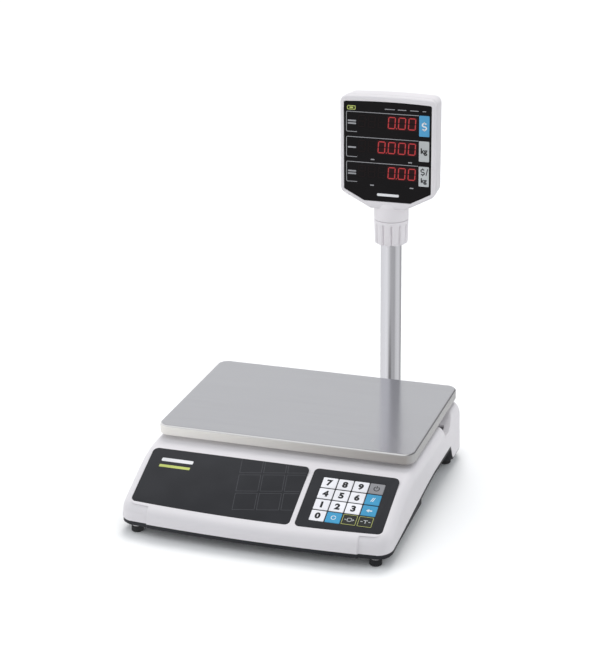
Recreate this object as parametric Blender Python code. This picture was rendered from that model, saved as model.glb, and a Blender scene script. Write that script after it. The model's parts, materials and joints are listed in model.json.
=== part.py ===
"""Retail price scale: weighing base, lift-off platter, membrane keypad, display head on a pole.

Built in the scale's own frame: +X to the right as the shopkeeper faces it, +Y to the rear, +Z up.
The origin is on the standing surface, under the middle of the scale's bounding box.
Dimensions are in millimetres; meshes are made in metres. A span is a (low, high) pair.
"""

import math
from collections import namedtuple

import bmesh
import bpy
from mathutils import Matrix, Vector

for old in list(bpy.data.objects):
    bpy.data.objects.remove(old, do_unlink=True)


def about(middle, half):
    """Span reaching half to each side of the middle."""
    return (middle - half, middle + half)


def grown(span, by):
    """Span made longer by the same amount at both ends."""
    return (span[0] - by, span[1] + by)


# ---------------------------------------------------------------- dimensions shared by sections
GAP = 0.3                 # clearance between neighbouring pieces
# white upper housing
FRONT_Y = -195.0          # middle of the bowed front edge
FRONT_BOW = 2.78e-4       # front edge: y = FRONT_Y + FRONT_BOW * x^2
REAR_Y = 142.2            # rear face
HALF_W_FRONT = 157.2      # half width at the front corners
HALF_W_REAR = 160.4       # half width at the rear legs
SIDE_TAPER_Y = -175.0     # the sides start to widen here
SIDE_TAPER_LENGTH = 290.0
CORNER_FRONT = 20.0       # plan radius of the front corners
CORNER_REAR = 28.0
SHELL = 3.0               # wall thickness
SEAM_Z = 16.3             # lower edge of the white housing at the front
LEG_Z = 13.2              # lower edge at the rear legs
GRIP_Z = 33.8             # lower edge above the hand holds
END_HALF_W = 120.0        # outline points nearer the middle than this belong to the front or rear
DECK_Z = 68.6             # flat deck under the platter
# black lower housing
TRAY_Z = 10.0
TRAY_WALL = 2.5
TRAY_FLOOR_TOP = TRAY_Z + 2.6
GRIP_IN = 30.0            # how far the hand hold goes in under the side
# platter
PLATTER_W, PLATTER_D = 306.0, 212.3
PLATTER_CY = 28.55
PLATTER_TOP = 86.0
# load cell and the platter support on its free end
CELL_Y = about(PLATTER_CY, 65.0)
CELL_Z = (34.0, 56.0)
BOLT_FIXED = (CELL_Y[0] + 8.0, CELL_Y[0] + 22.0)
BOLT_FREE = (CELL_Y[1] - 8.0, CELL_Y[1] - 22.0)
HUB_OPENING_Y = (56.0, 98.0)
HUB_Z = (56.4, 77.0)
SUPPORT_PAD_TOP = 84.6
# main board and power inlet
BOARD_X, BOARD_Y = (32.0, 116.0), (-32.0, 64.0)
JACK_X, JACK_Z = (-108.0, -92.0), (23.0, 35.0)
# battery door
DOOR_X, DOOR_Y = (-118.5, -45.5), (-36.0, 66.5)
DOOR_GAP = 0.45
# pole and the cable that runs into it
POLE_X, POLE_Y = 57.0, 174.2
POLE_XY = (POLE_X, POLE_Y)
POLE_R, POLE_BORE = 12.7, 11.2
POLE_Z = (19.3, 300.0)
CABLE_Z = 30.0
CABLE_WAY_R = 4.2
COLLAR_Z = (251.5, 278.0)
NECK_Z = (278.4, 294.0)
# feet: name and (x, y)
FEET = {
    "front_left": (-138.9, -176.3),
    "front_right": (138.9, -176.3),
    "rear_left": (-147.0, 98.2),
    "rear_right": (147.0, 98.2),
}

# ---------------------------------------------------------------- finishes
Look = namedtuple("Look", "colour roughness metallic", defaults=(0.0,))

WHITE = (0.80, 0.80, 0.83)
BLACK = (0.018, 0.018, 0.020)

WHITE_PLASTIC = Look(WHITE, roughness=0.42)
TOOL_WHITE = Look(WHITE, roughness=0.5)
TOOL_BLACK = Look(BLACK, roughness=0.5)
CHIP = Look(BLACK, roughness=0.4)
TRAY_PLASTIC = Look((0.020, 0.020, 0.022), roughness=0.55)
DOOR_PLASTIC = Look((0.022, 0.022, 0.024), roughness=0.55)
BATTERY_CASE = Look((0.03, 0.035, 0.05), roughness=0.5)
BATTERY_TAB = Look((0.7, 0.6, 0.3), roughness=0.4, metallic=1.0)
OVERLAY_FILM = Look((0.045, 0.047, 0.053), roughness=0.35)
KEY_WHITE = Look((0.82, 0.83, 0.86), roughness=0.4)
KEY_GREY = Look((0.20, 0.20, 0.21), roughness=0.4)
KEY_BLUE = Look((0.09, 0.37, 0.62), roughness=0.4)
KEY_DARK = Look((0.04, 0.042, 0.045), roughness=0.4)
CIRCUIT_BOARD = Look((0.02, 0.12, 0.05), roughness=0.45)
JACK_PLASTIC = Look((0.02, 0.02, 0.02), roughness=0.4)
CELL_METAL = Look((0.72, 0.73, 0.75), roughness=0.35, metallic=1.0)
BLOCK_METAL = Look((0.6, 0.61, 0.63), roughness=0.4, metallic=1.0)
STEEL = Look((0.62, 0.62, 0.64), roughness=0.3, metallic=1.0)
CAST_METAL = Look((0.66, 0.67, 0.69), roughness=0.45, metallic=1.0)
PLATTER_STEEL = Look((0.60, 0.60, 0.62), roughness=0.32, metallic=1.0)
POLE_METAL = Look((0.72, 0.73, 0.75), roughness=0.18, metallic=1.0)
SUPPORT_RUBBER = Look((0.03, 0.03, 0.03), roughness=0.8)
FOOT_RUBBER = Look((0.015, 0.015, 0.016), roughness=0.8)
LEVEL_LIQUID = Look((0.75, 0.78, 0.55), roughness=0.2)
CABLE_SHEATH = Look((0.02, 0.02, 0.02), roughness=0.6)
GLASS = Look((0.010, 0.010, 0.012), roughness=0.10)
LED_HOUSING = Look((0.015, 0.012, 0.012), roughness=0.5)


def material(name, look):
    made = bpy.data.materials.new(name)
    made.use_nodes = True
    shader = made.node_tree.nodes["Principled BSDF"]
    shader.inputs["Base Color"].default_value = (*look.colour, 1.0)
    shader.inputs["Roughness"].default_value = look.roughness
    shader.inputs["Metallic"].default_value = look.metallic
    made.diffuse_color = (*look.colour, 1.0)
    return made


# ---------------------------------------------------------------- mesh helpers
WELD = 2e-7               # metres; closer points are merged
ARC_STEPS = 3             # segments in each rounded corner of an outline
REAR_STEPS = 3            # pieces each side of the middle of the straight rear edge


def strip_faces(count):
    """Strips across a ring that is mirrored about its first and its middle point.
    The first face listed takes in the whole straight rear edge."""
    start = count // 2 - REAR_STEPS - 1
    faces = [tuple(range(start, count - start + 1))]
    for i in range(start):
        strip = (i, i + 1, count - i - 1, (count - i) % count)
        faces.append(tuple(dict.fromkeys(strip)))  # the strip at the front middle is a triangle
    return faces


def ring_faces(ring_count, count, ends):
    """Quads between closed rings of count points. ends says how the end rings are closed:
    'flat' by one face each, 'strips' by mirrored strips, 'joined' to each other."""
    faces = []
    for r in range(ring_count if ends == "joined" else ring_count - 1):
        low, high = r * count, (r + 1) % ring_count * count
        for i in range(count):
            j = (i + 1) % count
            faces.append((low + i, low + j, high + j, high + i))
    if ends != "joined":
        cap = strip_faces(count) if ends == "strips" else [tuple(range(count))]
        for base in (0, (ring_count - 1) * count):
            faces += [tuple(base + i for i in face) for face in cap]
    return faces


def build(name, rings, look, ends="flat", sharp=35.0):
    """One object skinned over rings of points; edges above sharp degrees stay sharp."""
    mesh = bpy.data.meshes.new(name)
    points = [(x / 1000, y / 1000, z / 1000) for ring in rings for x, y, z in ring]
    mesh.from_pydata(points, [], ring_faces(len(rings), len(rings[0]), ends))
    work = bmesh.new()
    work.from_mesh(mesh)
    bmesh.ops.remove_doubles(work, verts=work.verts, dist=WELD)
    bmesh.ops.recalc_face_normals(work, faces=work.faces)
    work.to_mesh(mesh)
    work.free()
    obj = bpy.data.objects.new(name, mesh)
    bpy.context.scene.collection.objects.link(obj)
    mesh.materials.append(material(name + "_finish", look))
    mesh.shade_smooth()
    mesh.set_sharp_from_angle(angle=math.radians(sharp))
    return obj


def lathe(name, profile, look, centre, sides, hollow=False, along_y=False):
    """Turned piece from a profile of (radius, height), its ends flat. A hollow one has a closed
    profile that keeps off the axis. centre is (x, y), or (x, z) with the axis along Y."""
    across, other = centre
    rings = []
    for radius, height in profile:
        ring = []
        for k in range(sides):
            angle = 2 * math.pi * k / sides
            u, v = radius * math.cos(angle), radius * math.sin(angle)
            if along_y:
                ring.append((u + across, height, other - v))
            else:
                ring.append((u + across, v + other, height))
        rings.append(ring)
    return build(name, rings, look, "joined" if hollow else "flat")


def cylinder(name, radius, span, look, centre, sides, along_y=False):
    return lathe(name, [(radius, end) for end in span], look, centre, sides, along_y=along_y)


def prism(name, outline, span, look, place=None):
    """Outline (x, y) extruded over a span of z, then placed by a function of the point."""
    rings = [[(x, y, z) for x, y in outline] for z in span]
    if place:
        rings = [[place(p) for p in ring] for ring in rings]
    return build(name, rings, look)


def rectangle(x_span, y_span, grow=0.0):
    (x0, x1), (y0, y1) = grown(x_span, grow), grown(y_span, grow)
    return [(x0, y0), (x1, y0), (x1, y1), (x0, y1)]


def box(name, x_span, y_span, z_span, look, chamfer=0.0):
    obj = prism(name, rectangle(x_span, y_span), z_span, look)
    if chamfer:
        bevel = obj.modifiers.new("edges", "BEVEL")
        bevel.width = chamfer / 1000
        bevel.segments = 1
        bevel.limit_method = "ANGLE"
    return obj


def boolean(obj, other, operation):
    """Boolean step with a helper shape, which is hidden from renders."""
    other.hide_render = True
    other.display_type = "WIRE"
    step = obj.modifiers.new(other.name, "BOOLEAN")
    step.operation = operation
    step.solver = "EXACT"
    step.object = other


def cut(obj, other):
    boolean(obj, other, "DIFFERENCE")


def join(obj, other):
    boolean(obj, other, "UNION")


def cut_bolt_holes(obj, prefix, places_y, radius, z_span):
    """Upright holes on the middle line, one for each y."""
    for k, y in enumerate(places_y):
        cut(obj, cylinder(f"{prefix}_{k}", radius, z_span, TOOL_BLACK, (0, y), 12))


def cable_way(name, y_span, look):
    """Cutter along Y for the signal cable."""
    return cylinder(name, CABLE_WAY_R, y_span, look, (POLE_X, CABLE_Z), 12, along_y=True)


def clamp01(t):
    return min(1.0, max(0.0, t))


def smooth01(t):
    t = clamp01(t)
    return t * t * (3 - 2 * t)


def arc_points(centre_x, centre_y, radius, start, end, steps):
    angles = [start + (end - start) * k / steps for k in range(steps + 1)]
    return [(centre_x + radius * math.cos(a), centre_y + radius * math.sin(a)) for a in angles]


def rounded_polygon(corners, radii):
    """Closed outline through the corners, each rounded with an arc."""
    points = []
    for i, (corner, radius) in enumerate(zip(corners, radii)):
        p = Vector(corner)
        back = (Vector(corners[i - 1]) - p).normalized()
        ahead = (Vector(corners[(i + 1) % len(corners)]) - p).normalized()
        half = back.angle(ahead) / 2
        reach = radius / math.tan(half)
        centre = p + (back + ahead).normalized() * (radius / math.sin(half))
        start, end = p + back * reach - centre, p + ahead * reach - centre
        sweep = start.angle_signed(end)
        for k in range(ARC_STEPS + 1):
            turned = Matrix.Rotation(-sweep * k / ARC_STEPS, 2) @ start
            points.append((centre.x + turned.x, centre.y + turned.y))
    return points


def put_origin(obj, point):
    """Moves the object's origin to a point and leaves its shape where it is."""
    spot = Vector(point) / 1000
    obj.data.transform(Matrix.Translation(-spot))
    obj.location = spot


# ---------------------------------------------------------------- plan outline of the housing
FRONT_STEPS = 7           # pieces from the front middle to the corner
CORNER_STEPS = 5
CORNER_PASSES = 8         # passes that fit the front corner between the bow and the side
# stations along the sides, y
SIDE_Y = (
    -172.0, -160.0, -150.0, -128.0, -110.0, -103.0, -96.0, -70.0, -50.0, -28.0, -14.0, 0.0,
    18.0, 36.0, 45.6, 46.8, 49.2, 61.5, 67.0, 71.5, 75.5, 79.0, 83.0, 87.5, 91.5, 95.5, 104.0,
)


def side_x(y):
    widening = clamp01((y - SIDE_TAPER_Y) / SIDE_TAPER_LENGTH)
    return HALF_W_FRONT + (HALF_W_REAR - HALF_W_FRONT) * widening


def front_lean(x):
    """Angle of the bowed front edge to the X axis."""
    return math.atan(2 * FRONT_BOW * x)


def plan_corner(centre_x, centre_y, radius, start, end):
    angles = [start + (end - start) * k / CORNER_STEPS for k in range(CORNER_STEPS + 1)]
    return [
        (centre_x + radius * math.cos(a), centre_y + radius * math.sin(a),
         -math.cos(a), -math.sin(a))
        for a in angles
    ]


def half_outline():
    """Right half of the outline, front middle to rear middle: (x, y, inward x, inward y)."""
    front_end = HALF_W_FRONT - CORNER_FRONT
    for _ in range(CORNER_PASSES):
        lean = front_lean(front_end)
        front_x = front_end - CORNER_FRONT * math.sin(lean)
        front_y = FRONT_Y + FRONT_BOW * front_end * front_end + CORNER_FRONT * math.cos(lean)
        front_end += side_x(front_y) - CORNER_FRONT - front_x
    points = []
    for k in range(FRONT_STEPS):
        x = front_end * k / FRONT_STEPS
        lean = front_lean(x)
        points.append((x, FRONT_Y + FRONT_BOW * x * x, -math.sin(lean), math.cos(lean)))
    start = -math.pi / 2 + front_lean(front_end)
    points += plan_corner(front_x, front_y, CORNER_FRONT, start, 0.0)
    points += [(side_x(y), y, -1.0, 0.0) for y in SIDE_Y if y > front_y + 1]
    rear_y = REAR_Y - CORNER_REAR
    rear_x = side_x(rear_y) - CORNER_REAR
    points += plan_corner(rear_x, rear_y, CORNER_REAR, 0.0, math.pi / 2)
    for k in range(1, REAR_STEPS + 1):
        points.append((rear_x * (1 - k / REAR_STEPS), REAR_Y, 0.0, -1.0))
    return points


HALF_OUTLINE = half_outline()


def full_ring(point):
    """point(x, y, inward x, inward y) for the right half, then the mirrored left half."""
    right = [point(*station) for station in HALF_OUTLINE]
    return right + [(-x, y, z) for x, y, z in reversed(right[1:-1])]


def move_in(x, y, in_x, in_y, inset):
    """Outline point moved inward; one on the middle line stays exactly on it."""
    x, y = x + in_x * inset, y + in_y * inset
    return (0.0 if x < 1e-6 else x), y


def seam_z(x, y):
    """Height of the white housing's lower edge: low at the front and the rear legs,
    raised over the hand holds."""
    if abs(x) < END_HALF_W:
        return SEAM_Z if y < 0 else LEG_Z
    along = clamp01((y + 188.0) / 190.0)
    rise = 0.5 - 0.5 * math.cos(math.pi * along)
    z = SEAM_Z + (GRIP_Z - SEAM_Z) * (0.55 * rise + 0.45 * along)
    return z + (LEG_Z - z) * smooth01((y - 71.0) / 16.5)


# ---------------------------------------------------------------- sloped front
SLOPE_TOP_Y = -102.7      # the sloped front starts here, at deck height
SLOPE = 0.4307            # rise per unit of depth, 23.3 degrees
SLOPE_ANGLE = math.atan(SLOPE)
SLOPE_COS, SLOPE_SIN = math.cos(SLOPE_ANGLE), math.sin(SLOPE_ANGLE)
DECK_BLEND = 9.0          # rounding between slope and deck
BLEND_SHARPNESS = 2.2
BLEND_END = 30.0          # beyond this the blend is straight


def top_z(y):
    """Height of the top skin before its shoulders: the slope, blended into the deck."""
    slope = DECK_Z + (y - SLOPE_TOP_Y) * SLOPE
    below = (DECK_Z - slope) / DECK_BLEND * BLEND_SHARPNESS
    if below > BLEND_END:
        return slope
    if below < -BLEND_END:
        return DECK_Z
    return DECK_Z - DECK_BLEND / BLEND_SHARPNESS * math.log1p(math.exp(below))


def slope_place(point):
    """(x, distance down the slope, height above the slope) to the scale's frame."""
    x, down, height = point
    return (
        x,
        SLOPE_TOP_Y - down * SLOPE_COS - height * SLOPE_SIN,
        DECK_Z - down * SLOPE_SIN + height * SLOPE_COS,
    )


# ---------------------------------------------------------------- white upper housing
# width and height of the rounded shoulder along the sides, front and rear
SHOULDERS = ((9.0, 14.0), (7.5, 7.5), (8.0, 8.0))
SHOULDER_IN = 0.8         # the wall leans in by this from its lower edge to the shoulder
OUTER_STEPS, INNER_STEPS = 4, 2
# notch in each side rail of the deck, where fingers reach under the platter
NOTCH_Z = 55.0
NOTCH_Y = (46.8, 49.2, 61.5, 95.5)
NO_LIMIT = 1e3
SIDE_IN_X = 0.2           # outline points with more inward x than this take part in the notch
SPREAD_INNER = 3.0        # extra width of the notch's bank on the inner skin
# rings at the foot and the top of the notch's inner bank: inset at the sides, margin
NOTCH_FOOT = (7.0, 0.4)
NOTCH_BANK = (8.2, 1.0)


def notch_z(y, in_x):
    """Upper limit on the skin where the notch lowers it."""
    start, floor_start, floor_end, end = NOTCH_Y
    if abs(in_x) <= SIDE_IN_X or y <= start or y >= end:
        return NO_LIMIT
    if y < floor_start:
        return NOTCH_Z + (DECK_Z - NOTCH_Z) * (floor_start - y) / (floor_start - start)
    if y < floor_end:
        return NOTCH_Z
    return NOTCH_Z + (DECK_Z - NOTCH_Z) * (y - floor_end) / (end - floor_end)


def shoulder(in_x, in_y):
    """Shoulder width and height for an outline point with this inward normal."""
    squares = (abs(in_x) ** 2, max(0.0, in_y) ** 2, max(0.0, -in_y) ** 2)
    total = sum(squares)
    mix = [square / total for square in squares]
    return tuple(sum(m * size[i] for m, size in zip(mix, SHOULDERS)) for i in (0, 1))


def skin_ring(inset_of, height_of):
    """Ring of inset_of(shoulder width, inward x) and height_of(shoulder height, x, y, inward x)."""

    def point(x, y, in_x, in_y):
        width, drop = shoulder(in_x, in_y)
        # the ring stays outside the centre of each front corner, so that it never folds over
        limit = CORNER_FRONT - 1.0 + 0.2 * max(0.0, y + 172.0)
        x, y = move_in(x, y, in_x, in_y, min(inset_of(width, in_x), limit))
        return (x, y, height_of(drop, x, y, in_x))

    return full_ring(point)


def skin_rings(wall, spread, steps):
    """Rings of one skin, wall inside the outer one, from its lower edge to the flat of the top."""

    def shoulder_ring(angle):
        across, down = 1 - math.cos(angle), 1 - math.sin(angle)
        return skin_ring(
            lambda width, in_x: wall + SHOULDER_IN + (width - wall) * across,
            lambda drop, x, y, in_x: min(
                top_z(y) - wall - (drop - wall) * down, notch_z(y, in_x) - wall
            ),
        )

    def top_ring(reach, margin, height_of):
        least = 0.04  # keeps a small inset at the front and rear
        return skin_ring(
            lambda width, in_x: (
                width + SHOULDER_IN + (reach + spread) * max(in_x * in_x, least) + margin
            ),
            height_of,
        )

    rings = [skin_ring(lambda width, in_x: wall, lambda drop, x, y, in_x: seam_z(x, y))]
    rings += [shoulder_ring(math.pi / 2 * k / steps) for k in range(steps + 1)]
    rings.append(top_ring(
        *NOTCH_FOOT, lambda drop, x, y, in_x: min(top_z(y) - wall, notch_z(y, in_x) - wall)
    ))
    rings.append(top_ring(*NOTCH_BANK, lambda drop, x, y, in_x: top_z(y) - wall))
    return rings


inner_skin = skin_rings(SHELL, SPREAD_INNER, INNER_STEPS)
outer_skin = skin_rings(0.0, 0.0, OUTER_STEPS)
housing = build(
    "upper_housing", inner_skin[::-1] + outer_skin, WHITE_PLASTIC, ends="strips", sharp=30.0
)

# ---------------------------------------------------------------- overlays and their recesses
OVERLAY_X = {"left": (-146.0, 41.5), "right": (47.8, 146.0)}
OVERLAY_LEN = 85.4        # at the middle of the front, less at the ends by the bow
OVERLAY_BOW = 2.18e-4
OVERLAY_TAPER = 0.75      # the outer end leans in by this at the bottom
OVERLAY_ACROSS = 6        # pieces along the bowed lower edge
OVERLAY_R = 5.5           # corner radius
OVERLAY_OUTER_R = 6.5     # radius of the outer upper corner
OVERLAY_BOW_R = 40.0      # radius that softens the joints of the lower edge
OVERLAY_SPAN = (-1.0, 0.12)     # height above the slope
RECESS_SPAN = (-1.3, 6.0)


def overlay_outline(side, grow):
    """Outline in (x, distance down the slope), its lower edge following the bowed front."""
    x0, x1 = OVERLAY_X[side]
    if side == "left":
        taper_left, taper_right = OVERLAY_TAPER, 0.0
        right_r, left_r = OVERLAY_R, OVERLAY_OUTER_R
    else:
        taper_left, taper_right = 0.0, OVERLAY_TAPER
        right_r, left_r = OVERLAY_OUTER_R, OVERLAY_R

    def lower_edge(x):
        return OVERLAY_LEN - OVERLAY_BOW * x * x + grow

    corners = [(x1 + grow, -grow), (x0 - grow, -grow)]
    corners.append((x0 - grow + taper_left, lower_edge(x0)))
    for k in range(1, OVERLAY_ACROSS):
        x = x0 + (x1 - x0) * k / OVERLAY_ACROSS
        corners.append((x, lower_edge(x)))
    corners.append((x1 + grow - taper_right, lower_edge(x1)))
    bow = [OVERLAY_BOW_R] * (OVERLAY_ACROSS - 1)
    return rounded_polygon(corners, [right_r, left_r, OVERLAY_R] + bow + [OVERLAY_R])


for side in OVERLAY_X:
    outline = overlay_outline(side, GAP)
    cut(housing, prism("recess_" + side, outline, RECESS_SPAN, TOOL_WHITE, slope_place))
prism("display_overlay", overlay_outline("left", 0.0), OVERLAY_SPAN, OVERLAY_FILM, slope_place)
keypad = prism(
    "keypad_overlay", overlay_outline("right", 0.0), OVERLAY_SPAN, OVERLAY_FILM, slope_place
)

# ---------------------------------------------------------------- keys and keypad board
KEY_X0, KEY_DOWN0 = 61.4, 11.8      # left and upper edge of the first key; down runs down the slope
KEY_PITCH_X, KEY_PITCH_DOWN = 18.0, 16.0
KEY_W, KEY_H = 16.6, 14.6
KEY_GAP = 0.35
KEYPAD_X = (KEY_X0, KEY_X0 + 3 * KEY_PITCH_X + KEY_W)
KEYPAD_DOWN = (KEY_DOWN0, KEY_DOWN0 + 3 * KEY_PITCH_DOWN + KEY_H)
# cap rings: growth of the key's outline, height above the slope
CAP_RINGS = ((-0.5, 0.38), (0.0, 0.1), (0.0, -1.2))
# stem rings: half width, height above the slope
STEM_RINGS = ((2.6, -1.2), (2.2, -2.6))
KEYS = (
    ("key_7", "key_8", "key_9", "key_power"),
    ("key_4", "key_5", "key_6", "key_double_zero"),
    ("key_1", "key_2", "key_3", "key_clear"),
    ("key_0", "key_tare", "key_zero_set", "key_print"),
)
KEY_LOOK = {
    "key_power": KEY_GREY,
    "key_double_zero": KEY_BLUE,
    "key_clear": KEY_BLUE,
    "key_tare": KEY_BLUE,
    "key_zero_set": KEY_DARK,
    "key_print": KEY_DARK,
}


def make_key(name, row, column):
    """Key with its stem, and its hole in the overlay. It slides along the slope's normal
    through its middle, where its origin is."""
    x0 = KEY_X0 + column * KEY_PITCH_X
    down0 = KEY_DOWN0 + row * KEY_PITCH_DOWN
    x_span, down_span = (x0, x0 + KEY_W), (down0, down0 + KEY_H)
    x, down = sum(x_span) / 2, sum(down_span) / 2
    hole = rectangle(x_span, down_span, KEY_GAP)
    cut(keypad, prism("hole_" + name, hole, (-3.0, 3.0), TOOL_BLACK, slope_place))
    levels = [(rectangle(x_span, down_span, grow), height) for grow, height in CAP_RINGS]
    levels += [(rectangle((x, x), (down, down), half), height) for half, height in STEM_RINGS]
    rings = [[slope_place((*corner, height)) for corner in outline] for outline, height in levels]
    key = build(name, rings, KEY_LOOK.get(name, KEY_WHITE))
    put_origin(key, slope_place((x, down, 0.0)))


for row, names in enumerate(KEYS):
    for column, name in enumerate(names):
        make_key(name, row, column)
prism("keypad_board", rectangle(KEYPAD_X, KEYPAD_DOWN, 1.5), (-5.2, -3.5), CIRCUIT_BOARD,
      slope_place)
cut(housing, prism("keypad_window", rectangle(KEYPAD_X, KEYPAD_DOWN, 2), (-9.0, 6.0), TOOL_WHITE,
                   slope_place))

# ---------------------------------------------------------------- openings in the upper housing
RAIL_SLOTS = {"l": (-151.8, -143.6), "r": (143.6, 151.8)}   # x spans

cut(housing, box("deck_opening", about(0, 22.0), HUB_OPENING_Y, (50, 90), TOOL_WHITE))
for tag, x_span in RAIL_SLOTS.items():
    cut(housing, box("rail_slot_" + tag, x_span, (62.5, 73.5), (40, 66), TOOL_WHITE))
cut(housing, box("jack_opening", grown(JACK_X, GAP), (130, 150), grown(JACK_Z, GAP), TOOL_WHITE))
cut(housing, cable_way("cable_opening", (128, 152), TOOL_WHITE))

# ---------------------------------------------------------------- black lower housing
TRAY_OUT = 0.9            # least inset of the tray from the white housing's outline
TRAY_END_IN = 1.2         # further inset of its wall at the front and rear
LIP = 0.4                 # gap below the white housing's edge
LOW_SEAM_Z = 15.5         # the tray is shallower where the seam is below this
BOSS_PROFILE = ((8.6, TRAY_Z + 0.5), (7.8, 25.0))
POST_PROFILE = ((3.6, TRAY_Z + 1), (3.0, 19.7))
POST_IN = 5.0             # board posts, in from the board's edges


def grip_in(x, y):
    """How far the tray's wall stands in from its rim."""
    if abs(x) < END_HALF_W:
        return TRAY_END_IN
    slow = TRAY_END_IN + 5.5 * smooth01((y + 190.0) / 170.0)
    fade = smooth01((y - 72.0) / 12.0)
    deep = GRIP_IN * smooth01((y + 42.0) / 34.0) * (1 - fade)
    return slow + (1.6 - slow) * fade + deep


def tray_ring(inset, height_of, follow=True):
    """Ring at height_of(seam height); follow takes it in along the hand holds."""

    def point(x, y, in_x, in_y):
        reach = TRAY_OUT + inset + (grip_in(x, y) if follow else 0.0)
        return (*move_in(x, y, in_x, in_y, reach), height_of(seam_z(x, y)))

    return full_ring(point)


def wall_top(seam):
    return min(seam - 2.6, 31.0) if seam > LOW_SEAM_Z else TRAY_Z + 1.6


def rim_bottom(seam):
    return seam - (2.5 if seam > LOW_SEAM_Z else 1.5)


def rim_top(seam):
    return seam - LIP


tray = build(
    "lower_housing",
    [
        tray_ring(1.0, lambda seam: TRAY_Z),
        tray_ring(0.0, lambda seam: TRAY_Z + 1.0),
        tray_ring(0.0, wall_top),
        tray_ring(0.0, rim_bottom, follow=False),
        tray_ring(0.0, rim_top, follow=False),
        tray_ring(TRAY_WALL, rim_top),
        tray_ring(TRAY_WALL, lambda seam: TRAY_FLOOR_TOP),
    ],
    TRAY_PLASTIC, ends="strips", sharp=30.0,
)
cut(tray, box("door_opening", DOOR_X, DOOR_Y, (5, 20), TOOL_BLACK))
for tag, spot in FEET.items():
    join(tray, lathe("boss_" + tag, BOSS_PROFILE, TOOL_BLACK, spot, 16))
    cut(tray, cylinder("bore_" + tag, 4.4, (0, 40), TOOL_BLACK, spot, 16))
post_spots = [(x, y) for y in grown(BOARD_Y, -POST_IN) for x in grown(BOARD_X, -POST_IN)]
for k, spot in enumerate(post_spots):
    join(tray, lathe(f"board_post_{k}", POST_PROFILE, TOOL_BLACK, spot, 10))
cut_bolt_holes(tray, "bolt_way", BOLT_FIXED, 3.4, (0, 30))

# ---------------------------------------------------------------- battery and its door
DOOR_PULL_X = (-92, -72)
BATTERY_X, BATTERY_Y, BATTERY_Z = (-117.0, -47.0), (-34.5, 65.0), (13.4, 56.5)
TAB_X = (-104.0, -60.0)   # middles of the two contact tabs
TAB_Y, TAB_Z = (56.0, 56.9), (55.0, 62.0)

door = box("battery_door", grown(DOOR_X, -DOOR_GAP), grown(DOOR_Y, -DOOR_GAP),
           (TRAY_Z + 0.1, TRAY_FLOOR_TOP - 0.1), DOOR_PLASTIC)
cut(door, box("door_pull", DOOR_PULL_X, (DOOR_Y[0] + 3.0, DOOR_Y[0] + 7.0), (5, TRAY_Z + 1.3),
              TOOL_BLACK))
# the door swings down about its rear edge
put_origin(door, (sum(DOOR_X) / 2, DOOR_Y[1] - DOOR_GAP, TRAY_Z))

battery = box("battery", BATTERY_X, BATTERY_Y, BATTERY_Z, BATTERY_CASE, chamfer=1.5)
for k, x in enumerate(TAB_X):
    join(battery, box(f"tab_{k}", about(x, 3.2), TAB_Y, TAB_Z, BATTERY_TAB))

# ---------------------------------------------------------------- main board and power inlet
# components on the board: spans of x, y and z
COMPONENTS = (
    ((40, 56), (-20, -4), (21.0, 24.0)),
    ((66, 92), (-24, -10), (21.0, 32.0)),
    ((96, 108), (10, 34), (21.0, 30.0)),
    ((44, 62), (40, 54), (21.0, 31.0)),
)

board = box("main_board", BOARD_X, BOARD_Y, (20.0, 21.6), CIRCUIT_BOARD)
for k, spans in enumerate(COMPONENTS):
    join(board, box(f"component_{k}", *spans, CHIP))

jack = box("power_inlet", JACK_X, (126.0, 142.6), JACK_Z, JACK_PLASTIC, chamfer=0.6)
jack_centre = (sum(JACK_X) / 2, sum(JACK_Z) / 2)
cut(jack, cylinder("jack_bore", 3.2, (131, 145), TOOL_BLACK, jack_centre, 16, along_y=True))

# ---------------------------------------------------------------- load cell and its bolts
FLEXURE_R = 8.2           # the cell's through slot, its ends round
FLEXURE_HALF = 16.0       # from the cell's middle to the centre of each round end
BOLT_R, BOLT_HEAD_R = 3.0, 5.0
HEAD_EDGE_R, HEAD_EDGE_H = 4.6, 0.5     # chamfer on the head
SOCKET_R, SOCKET_DEPTH = 2.4, 2.4

cell = box("load_cell", about(0, 15), CELL_Y, CELL_Z, CELL_METAL, chamfer=0.8)
cell_middle_z = sum(CELL_Z) / 2
quarter = math.pi / 2
flexure = arc_points(PLATTER_CY - FLEXURE_HALF, cell_middle_z, FLEXURE_R, quarter, 3 * quarter, 10)
flexure += arc_points(PLATTER_CY + FLEXURE_HALF, cell_middle_z, FLEXURE_R, -quarter, quarter, 10)
# the outline is in (y, z) and is extruded along X
cut(cell, prism("flexure_cut", flexure, (-20, 20), TOOL_BLACK, lambda p: (p[2], p[0], p[1])))
cut_bolt_holes(cell, "cell_bore", BOLT_FIXED + BOLT_FREE, 3.3, (30, 60))

base_block = box("load_cell_base", about(0, 16), (CELL_Y[0] - 2, CELL_Y[0] + 30),
                 (TRAY_FLOOR_TOP + GAP, 33.7), BLOCK_METAL, chamfer=0.8)
cut_bolt_holes(base_block, "base_bore", BOLT_FIXED, 3.4, (5, 60))


def socket_bolt(name, y, seat_z, end_z, tip_z):
    """Hexagon-socket screw on the middle line; its head runs from seat_z to end_z."""
    way = 1 if seat_z > tip_z else -1
    profile = [(HEAD_EDGE_R, end_z), (BOLT_HEAD_R, end_z - way * HEAD_EDGE_H),
               (BOLT_HEAD_R, seat_z), (BOLT_R, seat_z), (BOLT_R, tip_z)]
    if way < 0:
        profile.reverse()
    bolt = lathe(name, profile, STEEL, (0, y), 12)
    angles = [math.pi / 3 * k for k in range(6)]
    socket = [(SOCKET_R * math.cos(a), SOCKET_R * math.sin(a) + y) for a in angles]
    span = sorted((end_z - way * SOCKET_DEPTH, end_z + way * 2))
    cut(bolt, prism(name + "_socket", socket, span, TOOL_BLACK))


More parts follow.
